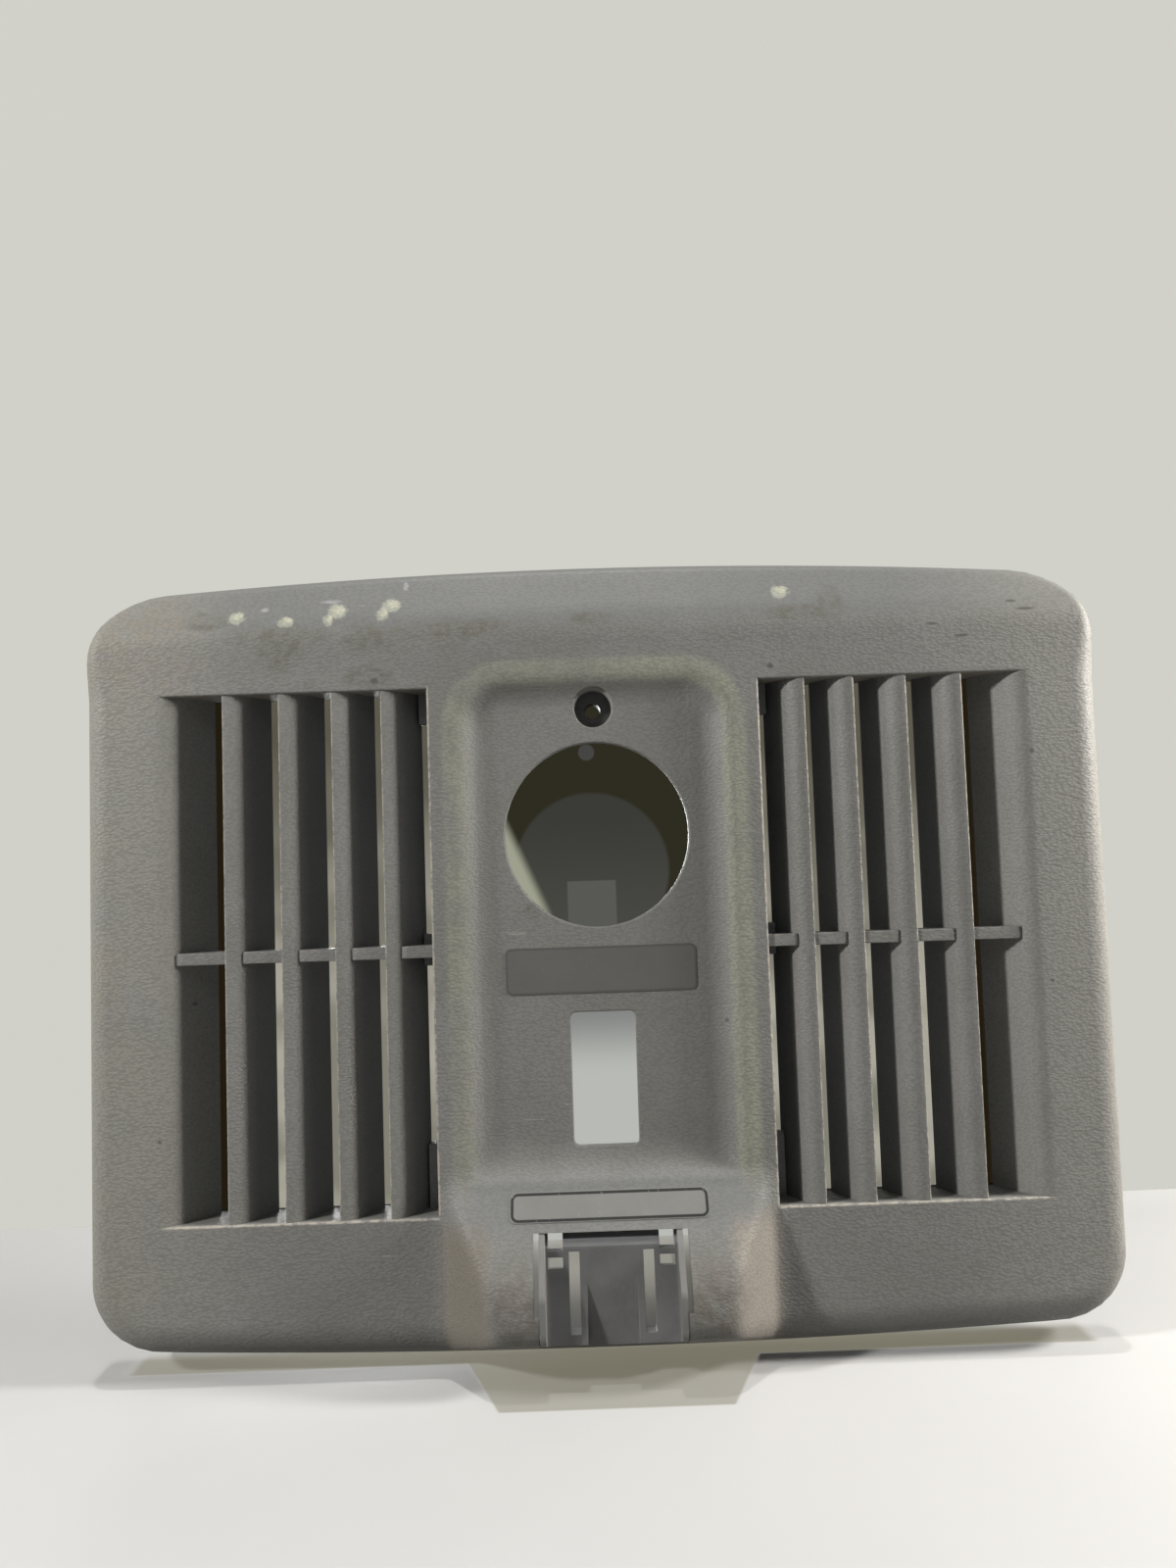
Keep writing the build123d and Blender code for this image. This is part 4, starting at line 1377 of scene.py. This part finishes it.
def far_lamp(name, azimuth, elevation, share, colour, spread):
    """A distant lamp that gives this share of the plain level."""
    data = place_lamp(name, "SUN", azimuth, elevation, colour)
    data.energy = share * pi
    data.angle = radians(spread)


def near_lamp(name, azimuth, elevation, share, colour, distance, width):
    """A round lamp at a distance from the middle of the face, with its share there."""
    data = place_lamp(name, "AREA", azimuth, elevation, colour, distance)
    data.shape = "DISK"
    data.size = width
    data.energy = share * (pi * distance) ** 2


def seen_rays(tree):
    """1 for what the camera, a reflection or glass sees, 0 for what gives light."""
    path = add_node(tree, "ShaderNodeLightPath").outputs
    seen = path["Is Camera Ray"]
    for kind in ("Is Glossy Ray", "Is Transmission Ray"):
        seen = add_node(tree, "ShaderNodeMath", {"operation": "MAXIMUM"}, [seen, path[kind]]).outputs[0]
    return seen


def studio_world():
    """Even pale background; its light is weak in front and stronger behind the cover."""
    world = bpy.data.worlds.new("studio")
    scene.world = world
    world.use_nodes = True
    tree = world.node_tree
    tree.nodes.clear()
    direction = add_node(tree, "ShaderNodeTexCoord").outputs["Generated"]
    backwards = add_node(tree, "ShaderNodeSeparateXYZ", {}, [direction]).outputs["Y"]
    level = add_node(tree, "ShaderNodeMapRange", {}, {
        "Value": backwards, "From Min": 0.0, "From Max": 0.6, "To Min": ambient_front, "To Max": ambient_behind})
    ambient = add_node(tree, "ShaderNodeBackground", {}, [ambient_light, level.outputs["Result"]]).outputs[0]
    seen = add_node(tree, "ShaderNodeBackground", {}, [backdrop]).outputs[0]
    mixed = add_node(tree, "ShaderNodeMixShader", {}, [seen_rays(tree), ambient, seen]).outputs[0]
    add_node(tree, "ShaderNodeOutputWorld", {}, [mixed])


def one_sided(f, shader, back=False):
    """Show a shader on a stage piece's front, or on its back; from the other side it can't be seen."""
    facing = f.node("ShaderNodeNewGeometry").outputs["Backfacing"]
    clear = f.node("ShaderNodeBsdfTransparent").outputs[0]
    f.show(f.blend(facing, clear, shader) if back else f.blend(facing, shader, clear))


def table_finish():
    """Pale table, which fades into the background far out, with the shade under the cover
    painted over the real shadow. The table's faces point down, so its top is their back."""
    f = Finish("pale table")
    seen = Number(f, seen_rays(f.tree))
    far = diagonal(f.x, f.y).step(270.0, 640.0)
    under_rim = abs(f.x).step(170.0, 164.0) * f.y.step(-9.5, -8.0) * f.y.step(14.0, 2.0)
    under_console = (abs(f.x) - 53.0 - 0.35 * f.y).step(1.0, -0.6) * f.y.step(-46.5, -45.0) * f.y.step(14.0, 2.0)
    under = under_rim.most(under_console)
    plain = f.mix(f.noise(60.0, 3.0, 0.6), (0.600, 0.596, 0.592), (0.630, 0.628, 0.626))
    # painted shade on the table behind the cover, darkest close to it and beside the pocket
    behind = abs(f.x).step(150.0, 60.0) * f.y.step(2.0, 8.0) * f.y.step(165.0, 95.0)
    shaded = f.mix(f.y.step(15.0, 95.0), (0.062, 0.060, 0.052), (0.250, 0.245, 0.215))
    pocket_x = abs(f.x - 1.35)
    beside_pocket = pocket_x.step(25.4, 27.0) * pocket_x.step(48.0, 40.0) * f.y.step(120.0, 70.0)
    shaded = f.mix(beside_pocket * 0.85, shaded, (0.040, 0.038, 0.032))
    f.colour = f.mix(seen, (0.12, 0.12, 0.12), f.mix(behind, plain, shaded))
    glow = f.glow(f.mix(under, backdrop, (0.290, 0.270, 0.200)))
    one_sided(f, f.blend(far.most(under * 0.62) * seen, f.shader.outputs[0], glow), back=True)
    return f.finished(0.55)


def pale_table():
    """Round floor under the rim's lowest edge."""
    rings, spokes = (150, 300, 500, 800, 1200, 2000, 4000, 9000), 48
    points, faces = [(0.0, 0.0, floor_level)], []
    for radius in rings:
        for k in range(spokes):
            points.append((radius * cos(2 * pi * k / spokes), radius * sin(2 * pi * k / spokes), floor_level))
    for k in range(spokes):
        faces.append((0, 1 + k, 1 + (k + 1) % spokes))
        for ring in range(len(rings) - 1):
            a, b = 1 + ring * spokes + k, 1 + ring * spokes + (k + 1) % spokes
            faces.append((a, a + spokes, b + spokes, b))
    floor = piece_from("floor", points, faces)
    floor.data.materials.append(table_finish())


def upright(name, x_limits, y, z_limits, material):
    """A flat stage piece that faces the front, and neither gives nor stops any light."""
    (left, right), (low, high) = x_limits, z_limits
    sheet = piece_from(name, [(left, y, low), (right, y, low), (right, y, high), (left, y, high)], [(0, 1, 2, 3)])
    sheet.data.materials.append(material)
    sheet.visible_diffuse = sheet.visible_shadow = False


def back_board():
    """The plain pale board behind the cover."""
    f = Finish("pale board")
    one_sided(f, f.glow(f.mix(f.noise(400.0, 1.0, 0.5), backdrop, tuple(0.99 * part for part in backdrop))))
    upright("board", (-board_reach, board_reach), board_distance, (floor_level, board_top), f.material)


def shade_card():
    """What shows through the openings: the cover's shadow on the board, with the light that passes its holes, drawn
    on a card that stands just inside the rim."""
    f = Finish("shadow on the board")
    x, z = f.x + 1.65, f.z + 14.6
    middle = abs(x).step(47.6, 40.3)
    f.colour = f.mix(z.step(-93.7, 18.0), (0.400, 0.385, 0.320), (0.110, 0.100, 0.074))
    f.lay(f.noise(33.0, 2.0, 0.5).step(0.62, 0.40) * 0.55, (0.085, 0.078, 0.060))
    f.lay(middle * z.step(-80.7, -74.9), (0.028, 0.026, 0.015))
    low_bright = f.mix(z.step(-90.1, -115.3), (0.225, 0.230, 0.225), (0.480, 0.490, 0.460))
    f.lay(middle * z.step(-74.9, -80.7), low_bright)
    through_hole = f.mix(z.step(-18.0, -64.8), (0.044, 0.045, 0.038), (0.064, 0.065, 0.056))
    f.lay(f.spot(-2.0, -56.5, 55.5, 55.5, 0.03), through_hole)
    f.lay(f.spot(-2.7, -14.0, 5.8, 5.8, 0.1), (0.060, 0.060, 0.056))
    past_switch = abs(x + 0.65).step(8.93, 8.50) * z.step(-45.4, -46.0) * z.step(-74.9, -73.5)
    f.lay(past_switch, (0.098, 0.100, 0.090))
    beside_knob = ((x + 30.5) * -0.914 - (z + 23.6) * 0.405).step(-1.4, 2.9)
    beside_knob = beside_knob * middle * z.step(-76.4, -72.1) * z.step(-14.4, -21.6)
    f.lay(beside_knob, (0.340, 0.350, 0.265))
    f.lay(abs(abs(x) - 134.7).step(15.9, 11.5), (0.016, 0.011, 0.005))
    one_sided(f, f.glow(f.mix(abs(x).step(162.1, 136.9), backdrop, f.colour)))
    upright("shade_card", (-card_half, card_half), card_level, (card_low, card_high), f.material)


def setting():
    """Pale floor, board, plain background and the lamps."""
    studio_world()
    pale_table()
    back_board()
    shade_card()
    far_lamp("overhead lamp", 0.0, 89.0, share=0.27, colour=(1.0, 0.985, 0.96), spread=1.5)
    near_lamp("ceiling lamp", 6.0, 43.0, share=0.03, colour=(0.90, 0.96, 1.0), distance=0.85, width=0.03)
    near_lamp("left lamp", -58.0, 26.0, share=0.84, colour=(1.0, 0.985, 0.955), distance=1.10, width=0.11)
    near_lamp("right lamp", 82.0, 20.0, share=1.28, colour=(1.0, 0.970, 0.92), distance=0.70, width=0.14)
    far_lamp("back lamp", 190.0, 1.0, share=0.70, colour=(0.96, 0.98, 1.0), spread=8.0)
    scene.view_settings.view_transform = "Standard"


camera()
setting()
grained = grained_plastic("grained grey", True)
plain_grain = grained_plastic("grained grey vanes", False)
cover_shell(grained)
bank_tree, pair_tree = vane_bank_tree(), paired_rows_tree()
foam = seal_foam("dark foam")
for side_name, side in (("left", -1), ("right", 1)):
    vanes(plain_grain, side_name, side, bank_tree)
    cross_rib(plain_grain, side_name, side)
    duct_collar(plain_grain, side_name, side)
    duct_seal(foam, side_name, side)
screw_boss(plain_grain)
stiffeners(plain_grain, pair_tree)
posts(plain_grain, pair_tree)
clips(clip_steel("spring steel"), pair_tree)
pocket(smooth_plastic("smooth grey"))
labels()
